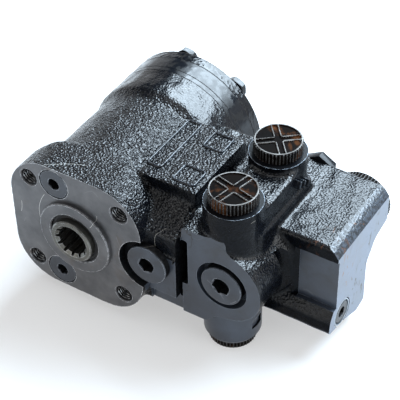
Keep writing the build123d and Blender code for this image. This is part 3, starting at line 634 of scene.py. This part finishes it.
SLOT_FINISH = {
    "casting": CAST, "cast_end": CAST_END, "ground_steel": STEEL, "bolt_black": BLACK_BOLT,
    "washer_steel": WASHER, "plug_grey": PLUG, "plug_black": PLUG_DARK, "cap_plastic": CAP,
    "seal_rubber": RUBBER, "valve_steel": VALVE_STEEL, "bearing_steel": BEARING,
    "spring_steel": SPRING,
}
for entry in frame["record"]["subparts"]:
    node = frame["nodes"][entry["node"]]
    for slot in node.material_slots:
        slot.material = SLOT_FINISH[entry["material_slot"]]
for name in ["gear_ring", "port_plate"] + ["cover_bolt_%d" % k for k in range(1, 8)]:
    for slot in frame["nodes"][name].material_slots:
        slot.material = SMOOTH_PAINT


# ------------------------------------------------------------- the casting skin
HOUSING_FINISHES = [CAST, FLANGE_FACE, FACE_DARK, SIDE_PALE, BORE, WORN_EDGE, RECESS_SHADE, BOSS_TOP_DARK]


def square_radius(angle, half, corner):
    """Distance from the centre to a rounded square's edge at an angle."""
    c = abs(math.cos(angle))
    s = abs(math.sin(angle))
    if c < s:
        c, s = s, c
    r = half / c
    inner = half - corner
    if r * s > inner:
        d = inner * (c + s)
        r = d + math.sqrt(max(d * d - 2 * inner * inner + corner * corner, 0.0))
    return r


def cast_blank():
    """The casting before machining: overlapping forms, each left proud where a face is milled."""
    reach = FLANGE_HALF * math.sqrt(2) - FLANGE_CORNER_R * (math.sqrt(2) - 1)
    limits = [(-3.0, reach + 1), (LUG_END, reach + 0.2)]
    for a in (15, 30, 45, 60, 75, 90):
        t = math.radians(a)
        limits.append((LUG_END + (LUG_BLEND - LUG_END) * math.sin(t),
                       BODY_R - 0.3 + (reach - BODY_R) * math.cos(t)))
    stations = []
    for y, limit in limits:
        stations.append((y, lambda a, limit=limit: min(
            square_radius(a, FLANGE_HALF, FLANGE_CORNER_R), limit)))
    parts = [radial_loft(stations)]
    parts.append(lathe([(0, 20), (BODY_R, 20), (BODY_R, STEP_START), (REAR_R, STEP_END),
                        (REAR_R, HOUSING_REAR + 3), (0, HOUSING_REAR + 3)], (0, 0), "Y", 160))
    parts.append(block(26.0, 62.4, 23, 75.5, 10, PAD_TOP + 0.2))
    parts.append(block(30, 63, 2.5, 60, RELIEF_STEP_Z, 7))
    parts.append(block(34, 63, 7.5, 88, VALVE_BOTTOM, 7))
    parts.append(block(43, 64.5, 7.5, 60, VALVE_BOTTOM, -18))
    parts.append(prism([(6, 6.2), (6, 20), (23.5, 34), (88, 34), (88, 6.2)], 36, 60, "X"))
    parts.append(block(34, 66.5, 34, 90, -27, 28))
    parts.append(rod(NOSE_R, 5.5, 62, (VALVE_X, 0)))
    parts.append(prism([(62.5, -31.5), (76.7, -31.5), (84.7, -22.4), (87.9, 0), (87.9, 30), (62.5, 30)],
                       5.5, 88, "Y"))
    parts.append(block(70.7, 104.7, 60, BLOCK_REAR + 2, -20, SIDE_TOP))
    sweep = SIDE_FRONT + 1.5 - 20
    flare = [(0, 20), (20, 20)]
    for a in (0, 20, 40, 60, 75, 90):
        t = math.radians(a)
        flare.append((NOSE_R + 0.30 * sweep * (1 - math.cos(t)), 20 + sweep * math.sin(t)))
    flare.append((0, SIDE_FRONT + 1.5))
    parts.append(lathe(flare, (VALVE_X, 0), "Y"))
    for y in (PORT_FRONT, PORT_REAR):
        parts.append(lathe([(0, 0), (BOSS_R + 1.6, 0), (BOSS_R, 32), (BOSS_R, BOSS_TOP + 2.5),
                            (0, BOSS_TOP + 2.5)], (PORT_X, y), "Z"))
    parts.append(block(75.5, 100.1, PORT_FRONT, PORT_REAR, 0, WEB_TOP))
    parts.append(block(84.5, 102.1, PORT_FRONT, PORT_REAR + 8, 0, 30))
    parts.append(rod(BOSS_R - 1.2, BOSS_BOTTOM + 4, 0, (PORT_X, PORT_FRONT), "Z"))
    side = [(39.5, -16), (34.5, -25), (34.3, -33), (52, -36.5), (66.8, -42.8), (76, -41),
            (75.5, -13), (84.5, -2), (BLOCK_REAR + 2, 3), (BLOCK_REAR + 2, 24), (39.5, 24)]
    parts.append(prism(side, 92.7, SIDE_X + 2.5, "X"))
    parts.append(rod(17.7, 68, BLOCK_REAR + 2, (REAR_PORT_X, REAR_PORT_Z)))
    return piece("casting_skin", parts, HOUSING_FINISHES)


def cutters():
    """Milled faces and bores taken out of the blank: (shape, finish index) pairs."""
    # slot: the narrow slots and the flange notch take the black recess finish, a painted shade
    flange, dark, pale, bore, worn, slot, boss_top = range(1, 8)
    cuts = [
        (block(-60, 60, -8, 0, -60, 60), flange),
        (block(VALVE_LEFT, 112, -8, VALVE_FACE, -60, 31.5), dark),
        (block(42.7, VALVE_LEFT, -8, RELIEF_FLOOR, RELIEF_STEP_Z - 0.1, 6.2), dark),
        (block(42.7, VALVE_LEFT, -8, RELIEF_STEP_Y, -34, RELIEF_STEP_Z), dark),
        (block(RELIEF_RIGHT, VALVE_LEFT, -8, 34, -22.3, 21.5), slot),
        (rod(NOTCH_R, -8, RELIEF_FLOOR - 0.04, (RELIEF_X, RELIEF_Z), "Y", 160), slot),
        (block(SIDE_X, SIDE_X + 8, 20, 110, -60, 40), pale),
        (block(-60, 60, HOUSING_REAR, HOUSING_REAR + 8, -60, 60), dark),
        (block(60, 150, BLOCK_REAR, BLOCK_REAR + 8, -60, 60), pale),
        (block(60, 110, 0, 95, BOSS_TOP, BOSS_TOP + 8), boss_top),
        (prism(rounded(61, 66, -10, 21.5, 1.8), -2, 30, "Y"), slot),
        (block(115.0, 150, 30, 41.1, -18.5, 15.8), dark),
        (prism([(99, 30), (115.1, 30), (115.1, 41.1)], -18.4, 15.7, "Z"), 0),
    ]
    bevel = SIDE_X - 6.5
    cuts.append((prism([(bevel, 27), (bevel, SIDE_TOP), (SIDE_X - 2.9, SIDE_TOP - 1.8),
                        (SIDE_X, SIDE_TOP - 5.8), (SIDE_X + 4, SIDE_TOP - 5.8), (SIDE_X + 4, 27)],
                       20, 110, "Y"), worn))
    for r, y0, y1 in ((15.6, -9, 4.0), (14.2, -9, 14.0), (17.5, 6.5, 11.5), (19.03, 13, 110)):
        cuts.append((rod(r, y0, y1, (0, 0)), bore))
    for y in (50, 62, 74, 86):
        cuts.append((rod(21.23, y, y + 5, (0, 0)), bore))
    for x in (-TAP_SPAN, TAP_SPAN):
        for z in (-TAP_SPAN, TAP_SPAN):
            cuts.append((rod(TAP_R + 0.75, -9, 20, (x, z), "Y", 48), bore))
            cuts.append((lathe([(0, -1), (TAP_R + 2.4, -1), (TAP_R + 0.5, 1.0), (0, 1.0)], (x, z), "Y", 48),
                         flange))
    for k in range(7):
        a = math.radians(-2.0 + 360.0 * k / 7)
        cuts.append((rod(4.03, 83, 110, (38.5 * math.cos(a), 38.5 * math.sin(a)), "Y", 32), bore))
    for z in (-SHOCK_Z, SHOCK_Z):
        cuts.append((rod(SHOCK_R + 0.28, -9, 10.05, (SHOCK_X, z), "Y", 64), bore))
        cuts.append((rod(6.53, -9, 35.05, (SHOCK_X, z), "Y", 48), bore))
        cuts.append((rod(3.0, 30, 52.5, (SHOCK_X, z), "Y", 24), bore))
    cuts += [
        (rod(10.03, 4, 14.5, (RELIEF_X, RELIEF_Z), "Y", 64), bore),
        (rod(6.53, 5, 44, (RELIEF_X, RELIEF_Z), "Y", 48), bore),
        (rod(3.0, 40, 64, (RELIEF_X, RELIEF_Z), "Y", 24), bore),
        (rod(COUNTER_R, 0, 16.5, (VALVE_X, 0), "Y", 128), dark),
        (rod(10.03, 0, 23.5, (VALVE_X, 0), "Y", 64), bore),
        (rod(9.03, 0, 110, (VALVE_X, 0), "Y", 64), bore),
        (rod(10.03, 80, 110, (VALVE_X, 0), "Y", 64), bore),
        (rod(8.03, 32, 60, (PORT_X, PORT_FRONT), "Z", 64), bore),
        (rod(8.03, 32, 60, (PORT_X, PORT_REAR), "Z", 64), bore),
        (rod(8.03, -60, -28.5, (PORT_X, PORT_FRONT), "Z", 64), bore),
        (rod(4.5, -40, 45, (PORT_X, PORT_FRONT + 5), "Z", 32), bore),
        (rod(4.5, 0, 45, (PORT_X, PORT_REAR), "Z", 32), bore),
        (rod(10.53, 66, 110, (REAR_PORT_X, REAR_PORT_Z), "Y", 64), bore),
        (rod(6.53, 108, 150, (SEAT_Y, SEAT_Z), "X", 48), bore),
        (rod(8.75, 136.8, 150, (SEAT_Y, SEAT_Z), "X", 64), bore),
        (rod(6.03, 86, 110, (94.5, 17.3), "Y", 48), bore),
    ]
    made = []
    for k, (shape, index) in enumerate(cuts):
        made.append(piece("cutter_%d" % k, [shape], HOUSING_FINISHES, index=index))
    return combined(made[0], made[1:], "UNION")


def casting_skin():
    skin = cast_blank()
    fuse = skin.modifiers.new("fuse", "REMESH")
    fuse.mode = "VOXEL"
    fuse.voxel_size = 1.15 * MM
    soften = skin.modifiers.new("soften", "SMOOTH")
    soften.factor = 0.5
    soften.iterations = 7
    settled(skin)
    normals = [n.vector.copy() for n in skin.data.vertex_normals]
    places = [v.co.copy() for v in skin.data.vertices]
    moved = []
    for place, normal in zip(places, normals):
        lump = 0.22 * noise.noise(place * 110.0) + 0.12 * noise.noise(place * 420.0)
        moved += list(place + normal * ((lump - 0.1) * MM))
    skin.data.vertices.foreach_set("co", moved)
    combined(skin, [cutters()], "DIFFERENCE")
    for face in skin.data.polygons:
        spot = face.center / MM
        if face.material_index == 0 and spot.x > 93 and spot.y < 60 and spot.z < -31:
            face.material_index = 2
    shade(skin.data, 32)
    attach(skin, "valve_housing")
    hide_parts("housing")
    return skin


casting_skin()


# ---------------------------------------------------------------- pilot ring
def pilot_ring():
    ring = piece("pilot_ring", [lathe([
        (15.63, 0.6), (15.63, -PILOT_H + 0.5), (16.1, -PILOT_H), (PILOT_R - 0.5, -PILOT_H),
        (PILOT_R, -PILOT_H + 0.5), (PILOT_R, 0.6)], (0, 0), "Y", 160)], [FLANGE_FACE], 30)
    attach(ring, "valve_housing")


pilot_ring()


# ---------------------------------------------------------------- cast pad frames
def pad_frames():
    """Three raised, empty frames on the pad, with half-round tops."""
    section = [(-0.75, -0.6), (-0.7, 0.4), (-0.35, 0.95), (0.35, 0.95), (0.7, 0.4), (0.75, -0.6)]
    frames = (("pad_frame_long", (26.9, 35.3, 31.3, 72.7)),
              ("pad_frame_rear", (44.7, 56.7, 58.3, 71.2)),
              ("pad_frame_front", (45.3, 58.2, 27.3, 40.2)))
    for name, box in frames:
        path = rounded(*box, 1.6, 5)
        count = len(path)
        points = []
        faces = []
        for k in range(count):
            before = Vector(path[k - 1])
            after = Vector(path[(k + 1) % count])
            along = (after - before).normalized()
            side = Vector((along.y, -along.x))
            for u, v in section:
                spot = Vector(path[k]) + side * u
                points.append((spot.x, spot.y, PAD_TOP + v))
        rows = len(section)
        for k in range(count):
            n = (k + 1) % count
            for j in range(rows):
                i = (j + 1) % rows
                faces.append((k * rows + j, n * rows + j, n * rows + i, k * rows + i))
        made = piece(name, [(points, faces)], [PAD_EDGE], 60)
        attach(made, "valve_housing")


pad_frames()


# ------------------------------------------------------- raised marks by the rear port
def boss_marks():
    """Three short slanted bars standing out of the casting wall."""
    for k, (y, z) in enumerate(((61.5, 37.0), (66.0, 34.5), (70.5, 32.0))):
        bar = []
        for u, v in rounded(-2.3, 2.3, -0.75, 0.75, 0.7, 4):
            a = math.radians(62)
            bar.append((y + u * math.cos(a) - v * math.sin(a), z + u * math.sin(a) + v * math.cos(a)))
        made = piece("boss_mark_%d" % (k + 1), [prism(bar, 99.0, MARK_FACE, "X")], [PAD_EDGE], 60)
        soft = made.modifiers.new("soft", "BEVEL")
        soft.width = 0.4 * MM
        soft.segments = 2
        settled(made)
        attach(made, "valve_housing")


boss_marks()


# ------------------------------------------------------------ lower port boss
def lower_boss():
    """Turned boss under the valve block, with its bore for the port."""
    boss = piece("lower_port_boss", [lathe([
        (8.06, -18), (8.06, BOSS_BOTTOM + 0.6), (8.7, BOSS_BOTTOM), (BOSS_R - 1.6, BOSS_BOTTOM),
        (BOSS_R - 0.1, BOSS_BOTTOM + 2.2), (BOSS_R - 0.1, -28), (BOSS_R - 0.6, -26.5), (BOSS_R - 0.6, -18)],
        (PORT_X, PORT_FRONT), "Z", 128)], [FACE_DARK, RECESS_SHADE])
    # the pocket walls take the black recess finish, a painted shade
    hollow = piece("lower_boss_hollow", [block(98.6, 104, 19, 27.5, -35.5, -29)], [FACE_DARK, RECESS_SHADE],
                   index=1)
    combined(boss, [hollow], "DIFFERENCE")
    shade(boss.data, 30)
    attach(boss, "valve_housing")


lower_boss()


# ------------------------------------------------------------- tapped holes
def tapped_threads():
    """Helical thread inside each of the four flange holes."""
    pitch = 1.5
    rows = 64
    count = 40
    start = 0.5
    length = 18.0
    holes = (("thread_lower_left", -TAP_SPAN, -TAP_SPAN), ("thread_upper_left", -TAP_SPAN, TAP_SPAN),
             ("thread_lower_right", TAP_SPAN, -TAP_SPAN), ("thread_upper_right", TAP_SPAN, TAP_SPAN))
    for name, x, z in holes:
        points = []
        faces = []
        for j in range(rows):
            y = start + length * j / (rows - 1)
            for k in range(count):
                a = 2 * math.pi * k / count
                turn = (y / pitch - k / count) % 1.0
                r = TAP_R - 0.05 + 0.7 * abs(2 * turn - 1)
                points.append((x + r * math.cos(a), y, z + r * math.sin(a)))
        for y in (start + length, start):
            for k in range(count):
                a = 2 * math.pi * k / count
                points.append((x + (TAP_R + 0.8) * math.cos(a), y, z + (TAP_R + 0.8) * math.sin(a)))
        total = rows + 2
        for j in range(total):
            i = (j + 1) % total
            for k in range(count):
                n = (k + 1) % count
                faces.append((j * count + k, j * count + n, i * count + n, i * count + k))
        made = piece(name, [(points, faces)], [THREAD, RECESS_SHADE], 50)
        # thread roots get the black recess finish as painted shade; the crests stay bright steel
        for face in made.data.polygons:
            out = math.hypot(face.center.x / MM - x, face.center.z / MM - z)
            face.material_index = 1 if out > TAP_R + 0.3 else 0
        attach(made, "valve_housing")


tapped_threads()


# ---------------------------------------------------------------- screwed plugs
def hexagon(af, centre, turn):
    x, z = centre
    r = af / math.sqrt(3)
    return [(x + r * math.cos(math.radians(turn + 60 * k)), z + r * math.sin(math.radians(turn + 60 * k)))
            for k in range(6)]


def socket_plug(name, node, profile, centre, axis, face, af, turn, depth, finish):
    """Turned plug with a hex socket that has a cone at its mouth; face is where the head starts."""
    body = piece(name, [lathe(profile, centre, axis, 96)], [finish, RECESS_SHADE])
    # the plug's side walls get the black recess finish as painted shade
    for side in body.data.polygons:
        if abs(side.normal["XYZ".index(axis)]) < 0.3:
            side.material_index = 1
    way = 1 if axis == "Y" else -1
    low, high = sorted((face - way, face + way * depth))
    # the hex socket walls get the black recess finish as painted shade
    hole = piece(name + "_hole", [prism(hexagon(af, centre, turn), low, high, axis)],
                 [finish, RECESS_SHADE], index=1)
    mouth = piece(name + "_mouth", [lathe([(0, face - way * 0.5), (af * 0.62, face - way * 0.5),
                                           (af * 0.48, face + way * 0.75), (0, face + way * 0.75)],
                                          centre, axis, 48)], [finish, RECESS_SHADE])
    combined(body, [hole, mouth], "DIFFERENCE")
    shade(body.data, 30)
    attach(body, "valve_housing")
    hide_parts(node)
    return body


def head_profile(face, seat, head_r, end):
    """Head with a rounded rim, then the shank."""
    return [(0, face), (head_r - 1.0, face), (head_r - 0.35, face + 0.2), (head_r, face + 0.7),
            (head_r, seat), (10.0, seat), (10.0, end - 0.8), (9.2, end), (0, end)]


def flush_profile(face, r, end):
    return [(0, face), (r - 0.45, face), (r, face + 0.5), (r, end), (0, end)]


def screwed_plugs():
    socket_plug("relief_plug_turned", "relief_plug", head_profile(1.0, 5.5, 12.2, 12.5),
                (RELIEF_X, RELIEF_Z), "Y", 1.0, 8.7, 12, 5.0, PLUG)
    socket_plug("priority_plug_turned", "priority_plug", head_profile(7.5, 16.5, 12.2, 23.5),
                (VALVE_X, 0), "Y", 7.5, 9.6, 12, 6.0, PLUG)
    for tag, z in (("lower", -SHOCK_Z), ("upper", SHOCK_Z)):
        socket_plug("shock_plug_turned_" + tag, "shock_plug_" + tag, flush_profile(0.1, SHOCK_R, 10.0),
                    (SHOCK_X, z), "Y", 0.1, 6.6, 20, 5.0, PLUG)
    socket_plug("seat_plug_turned", "seat_plug",
                [(0, 137.7), (6.3, 137.7), (6.7, 137.3), (6.7, 136.85), (6.5, 136.85), (6.5, 126.0),
                 (0, 126.0)],
                (SEAT_Y, SEAT_Z), "X", 137.7, 6.0, 15, 5.0, PLUG_DARK)
    ring = piece("seat_ring_turned", [lathe([
        (7.35, 136.85), (7.35, 137.75), (7.5, 137.9), (8.1, 137.9), (8.3, 137.7), (8.3, 136.85)],
        (SEAT_Y, SEAT_Z), "X", 96)], [STEEL], 30)
    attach(ring, "valve_housing")
    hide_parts("seat_ring")


screwed_plugs()


# ------------------------------------------------------------------ port caps
def rib_tree():
    """Geometry nodes: upright half-round ribs evenly spaced round a rim."""
    tree = bpy.data.node_groups.new("rim_ribs", "GeometryNodeTree")
    sockets = {}
    inputs = (("Count", "NodeSocketInt", 44), ("Rim Radius", "NodeSocketFloat", 0.013),
              ("Rib Radius", "NodeSocketFloat", 0.0004), ("Rib Height", "NodeSocketFloat", 0.006),
              ("Finish", "NodeSocketMaterial", None))
    for label, kind, value in inputs:
        socket = tree.interface.new_socket(name=label, in_out="INPUT", socket_type=kind)
        if value is not None:
            socket.default_value = value
        sockets[label] = socket.identifier
    tree.interface.new_socket(name="Geometry", in_out="OUTPUT", socket_type="NodeSocketGeometry")
    t = Tree(tree)
    ins = t.put("NodeGroupInput").outputs
    rim = t.put("GeometryNodeMeshCircle", {"Vertices": ins["Count"], "Radius": ins["Rim Radius"]})
    rib = t.put("GeometryNodeMeshCylinder", {"Vertices": 8, "Radius": ins["Rib Radius"],
                                             "Depth": ins["Rib Height"]})
    spread = t.put("GeometryNodeInstanceOnPoints", {"Points": rim.outputs["Mesh"],
                                                    "Instance": rib.outputs["Mesh"]})
    real = t.put("GeometryNodeRealizeInstances", {"Geometry": spread.outputs["Instances"]})
    dress = t.put("GeometryNodeSetMaterial", {"Geometry": real.outputs["Geometry"],
                                              "Material": ins["Finish"]})
    out = t.put("NodeGroupOutput")
    t.feed(out.inputs["Geometry"], dress.outputs["Geometry"])
    return tree, sockets


RIB_TREE, RIB_SOCKETS = rib_tree()


def cap_height(x, y, r, rim, top):
    """Height of the moulded top: a ridge round the rim and along both sides of the crossed slots."""
    arm = 1.35
    bend = 1.6
    u = abs(x)
    v = abs(y)
    gap_u = arm + bend - u
    gap_v = arm + bend - v
    if gap_u > 0 and gap_v > 0:
        away = bend - math.hypot(gap_u, gap_v)
    else:
        away = min(u, v) - arm
    line = abs(away - 0.4)
    edge = abs(r - (rim - 0.95))
    ridge = max(1 - line / 0.62, 1 - edge / 0.7, 0.0)
    ridge = ridge * ridge * (3 - 2 * ridge)
    floor = top - 1.05 if away < 0.4 else top - 0.8
    return floor + (top - floor) * min(ridge * 1.25, 1.0)


def moulded_cap(name, node, body, centre, turn, rim, top, shank_r, shank_len, direction, ribs):
    """Screw cap with ribbed rim and crossed slots, moved to its port and turned along direction."""
    skin_r = rim - 0.38
    spokes = 200
    rings = 34
    t = math.radians(turn)
    points = [(0, 0, cap_height(0, 0, 0, rim, top))]
    for j in range(1, rings + 1):
        r = (skin_r - 0.45) * j / rings
        for k in range(spokes):
            a = 2 * math.pi * k / spokes
            x, y = r * math.cos(a), r * math.sin(a)
            u = x * math.cos(t) + y * math.sin(t)
            v = -x * math.sin(t) + y * math.cos(t)
            points.append((x, y, cap_height(u, v, r, rim, top)))
    wall = [(skin_r - 0.12, top - 0.18), (skin_r, top - 0.55), (skin_r, 0.9), (skin_r - 0.5, 0.05),
            (shank_r, 0.05), (shank_r, 0.6 - shank_len), (shank_r - 0.6, -shank_len)]
    for r, z in wall:
        for k in range(spokes):
            a = 2 * math.pi * k / spokes
            points.append((r * math.cos(a), r * math.sin(a), z))
    points.append((0, 0, -shank_len))
    faces = []
    for k in range(spokes):
        faces.append((0, 1 + k, 1 + (k + 1) % spokes))
    rows = rings + len(wall)
    for j in range(rows - 1):
        for k in range(spokes):
            n = (k + 1) % spokes
            a, b = 1 + j * spokes, 1 + (j + 1) * spokes
            faces.append((a + k, b + k, b + n, a + n))
    last = 1 + (rows - 1) * spokes
    for k in range(spokes):
        faces.append((len(points) - 1, last + (k + 1) % spokes, last + k))
    cap = piece(name, [(points, faces)], [CAP, CAP_RIDGE], 40)
    for face in cap.data.polygons:
        if face.center.z > (top - 0.34) * MM:
            face.material_index = 1
    place = Matrix.Translation(Vector(centre) * MM) @ Vector((0, 0, 1)).rotation_difference(
        Vector(direction)).to_matrix().to_4x4()
    cap.data.transform(place)
    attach(cap, body)
    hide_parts(node)

    rim_mesh = bpy.data.meshes.new(name + "_ribs")
    rim_piece = bpy.data.objects.new(name + "_ribs", rim_mesh)
    bpy.context.scene.collection.objects.link(rim_piece)
    rim_mesh.materials.append(CAP_RIB)
    grow = rim_piece.modifiers.new("ribs", "NODES")
    grow.node_group = RIB_TREE
    for label, value in (("Count", ribs), ("Rim Radius", skin_r * MM), ("Rib Radius", 0.38 * MM),
                         ("Rib Height", (top - 1.4) * MM), ("Finish", CAP_RIB)):
        grow[RIB_SOCKETS[label]] = value
    settled(rim_piece)
    rim_piece.data.transform(place @ Matrix.Translation(Vector((0, 0, (top + 0.35) / 2 * MM))))
    shade(rim_piece.data, 50)
    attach(rim_piece, body)


def port_caps():
    up, down, rearward = (0, 0, 1), (0, 0, -1), (0, 1, 0)
    moulded_cap("front_top_cap", "cap_top_front", "front_cap", (PORT_X, PORT_FRONT, BOSS_TOP), -13,
                CAP_RIM, 7.6, CAP_SHANK_R, CAP_SHANK, up, CAP_RIBS)
    moulded_cap("rear_top_cap", "cap_top_rear", "rear_top_cap", (PORT_X, PORT_REAR, BOSS_TOP), 40,
                CAP_RIM, 7.6, CAP_SHANK_R, CAP_SHANK, up, CAP_RIBS)
    moulded_cap("lower_cap", "cap_bottom", "under_cap", (PORT_X, PORT_FRONT, BOSS_BOTTOM), 20,
                CAP_RIM, 5.4, CAP_SHANK_R, CAP_SHANK, down, CAP_RIBS)
    moulded_cap("rear_side_cap", "cap_rear", "back_cap", (REAR_PORT_X, BLOCK_REAR, REAR_PORT_Z), 25,
                16.9, 6.0, 10.47, 12.0, rearward, 54)


port_caps()


# ---------------------------------------------------- fasteners with softened edges
def softened_copy(node, name, width, smooth=35):
    """Merged copy of a plain solid with its sharp edges rounded over."""
    source = frame["nodes"][node]
    mesh = source.data.copy()
    mesh.name = name
    obj = bpy.data.objects.new(name, mesh)
    bpy.context.scene.collection.objects.link(obj)
    bm = bmesh.new()
    bm.from_mesh(mesh)
    bmesh.ops.remove_doubles(bm, verts=bm.verts, dist=2e-6)
    bmesh.ops.dissolve_limit(bm, angle_limit=math.radians(2), verts=bm.verts, edges=bm.edges)
    bm.to_mesh(mesh)
    bm.free()
    edge = obj.modifiers.new("edge", "BEVEL")
    edge.width = width * MM
    edge.segments = 2
    edge.limit_method = "ANGLE"
    edge.angle_limit = math.radians(28)
    settled(obj)
    shade(obj.data, smooth)
    for body, names in frame["record"]["behaviour"]["bodies"].items():
        if node in names:
            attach(obj, body)
    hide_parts(node)


softened_copy("gauge_plug", "gauge_plug_softened", 0.35)
softened_copy("gear_ring", "gear_ring_softened", 0.3, 14)
softened_copy("port_plate", "port_plate_softened", 0.3, 14)
softened_copy("end_cover", "end_cover_softened", 0.6, 14)


def cover_bolts():
    """Painted bolts with low rounded heads, each on its washer."""
    washers = []
    for k in range(1, 8):
        low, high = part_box("cover_bolt_%d" % k)
        x = (low.x + high.x) / 2 / MM
        z = (low.z + high.z) / 2 / MM
        front = low.y / MM
        under_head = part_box("cover_washers")[1].y / MM
        top = under_head + 4.0
        bolt = piece("cover_bolt_painted_%d" % k, [
            rod(4.0, front, under_head + 0.5, (x, z), "Y", 32),
            prism(hexagon(12.0, (x, z), 17 * k), under_head, top, "Y")], [SMOOTH_PAINT])
        crown = piece("bolt_crown_%d" % k, [lathe([
            (0, front - 1), (7.2, front - 1), (7.2, top - 1.6), (6.6, top - 0.7), (5.4, top), (0, top)],
            (x, z), "Y", 48)], [SMOOTH_PAINT])
        combined(bolt, [crown], "INTERSECT")
        shade(bolt.data, 30)
        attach(bolt, "valve_housing")
        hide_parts("cover_bolt_%d" % k)
        washers.append(lathe([(4.3, under_head - 1), (6.5, under_head - 1), (6.7, under_head - 0.7),
                              (6.7, under_head - 0.3), (6.4, under_head), (4.3, under_head)],
                             (x, z), "Y", 48))
    rings = piece("cover_washers_painted", washers, [SMOOTH_PAINT], 30)
    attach(rings, "valve_housing")
    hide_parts("cover_washers")


cover_bolts()


# ------------------------------------------------------------- stage and camera
# the floor is a flat round of this radius whose rim curves up into a low wall, in metres
FLOOR_FLAT, FLOOR_CURVE, FLOOR_WALL = 2.4, 0.6, 1.2
FLOOR_SIDES = 64


def make_floor():
    low = cad_box[0].z
    mesh = bpy.data.meshes.new("floor")
    rings = [(FLOOR_FLAT + FLOOR_CURVE * math.sin(math.radians(a)),
              low + FLOOR_CURVE * (1 - math.cos(math.radians(a)))) for a in range(0, 91, 10)]
    rings.append((FLOOR_FLAT + FLOOR_CURVE, low + FLOOR_WALL))
    turns = [math.tau * i / FLOOR_SIDES for i in range(FLOOR_SIDES)]
    spots = [(MIDDLE[0] + r * math.cos(a), MIDDLE[1] + r * math.sin(a), z)
             for r, z in rings for a in turns]
    faces = [tuple(range(FLOOR_SIDES))]
    for k in range(len(rings) - 1):
        inner, outer = k * FLOOR_SIDES, (k + 1) * FLOOR_SIDES
        for i in range(FLOOR_SIDES):
            j = (i + 1) % FLOOR_SIDES
            faces.append((inner + i, outer + i, outer + j, inner + j))
    mesh.from_pydata(spots, [], faces)
    mesh.polygons.foreach_set("use_smooth", [False] + [True] * (len(faces) - 1))
    floor = bpy.data.objects.new("floor", mesh)
    bpy.context.scene.collection.objects.link(floor)
    near_glow, far_glow = (0.45, 0.45, 0.45, 1), (0.5, 0.5, 0.5, 1)
    m, t = new_finish("floor_white")
    t.feed(t.shader.inputs["Base Color"], (0.55, 0.555, 0.56, 1))
    t.feed(t.shader.inputs["Roughness"], 0.9)
    away = t.put("ShaderNodeVectorMath", {0: t.where}, operation="LENGTH")
    glow = t.blend(t.span(away.outputs["Value"], 1.0, FLOOR_FLAT), near_glow, far_glow)
    t.feed(t.shader.inputs["Emission Color"], glow)
    t.feed(t.shader.inputs["Emission Strength"], 1.0)
    t.feed(t.shader.inputs["Specular IOR Level"], 0.0)
    mesh.materials.append(m)


def area_light(name, place, aim, size, power, colour=(1, 1, 1), height=None):
    data = bpy.data.lights.new(name, "AREA")
    data.shape = "RECTANGLE" if height else "DISK"
    data.size = size
    if height:
        data.size_y = height
    data.energy = power
    data.color = colour
    lamp = bpy.data.objects.new(name, data)
    lamp.location = place
    lamp.rotation_euler = (Vector(aim) - Vector(place)).to_track_quat("-Z", "Y").to_euler()
    bpy.context.scene.collection.objects.link(lamp)


def make_world():
    world = bpy.data.worlds.new("studio")
    bpy.context.scene.world = world
    world.use_nodes = True
    world.node_tree.nodes.clear()
    t = Tree(world.node_tree)
    soft = t.put("ShaderNodeBackground", {"Color": (0.94, 0.97, 1.0, 1), "Strength": 0.05})
    out = t.put("ShaderNodeOutputWorld")
    t.feed(out.inputs["Surface"], soft.outputs[0])


def make_camera():
    """View from the right, front and above the unit, as seen by whoever fits the column."""
    azimuth = math.radians(32.6179)
    height = math.radians(41.8074)
    roll = math.radians(-0.9292)
    distance = 0.6817645
    centre = Vector((0.0797488, 0.0, 0.0633445))
    back = Vector((math.sin(azimuth) * math.cos(height), -math.cos(azimuth) * math.cos(height),
                   math.sin(height)))
    right = (-back).cross(Vector((0, 0, 1))).normalized()
    up = right.cross(-back)
    r2 = right * math.cos(roll) + up * math.sin(roll)
    u2 = up * math.cos(roll) - right * math.sin(roll)
    data = bpy.data.cameras.new("camera")
    data.sensor_width = 36.0
    data.lens = 36.0 * 1395.0868 / 400.0
    data.clip_start = 0.01
    data.clip_end = 20.0
    cam = bpy.data.objects.new("camera", data)
    turn = Matrix((r2, u2, back)).transposed().to_4x4()
    cam.matrix_world = Matrix.Translation(centre + back * distance) @ turn
    bpy.context.scene.collection.objects.link(cam)
    bpy.context.scene.camera = cam


MIDDLE = (0.045, 0.05, 0.0)
make_floor()
make_world()
make_camera()
area_light("key_behind", (0.235, 0.66, 0.72), MIDDLE, 1.1, 36.0, (0.72, 0.87, 1.0), 0.52)
area_light("overhead", (0.0, 0.0, 1.3), MIDDLE, 1.4, 5.0, (0.97, 0.98, 1.0))
area_light("front_fill", (-0.45, -1.2, 0.45), MIDDLE, 1.3, 5.0, (1.0, 0.99, 0.97))
area_light("right_fill", (1.2, 0.1, 0.35), MIDDLE, 0.8, 5.0, (0.95, 0.98, 1.0))

bpy.context.scene.view_settings.view_transform = "Standard"
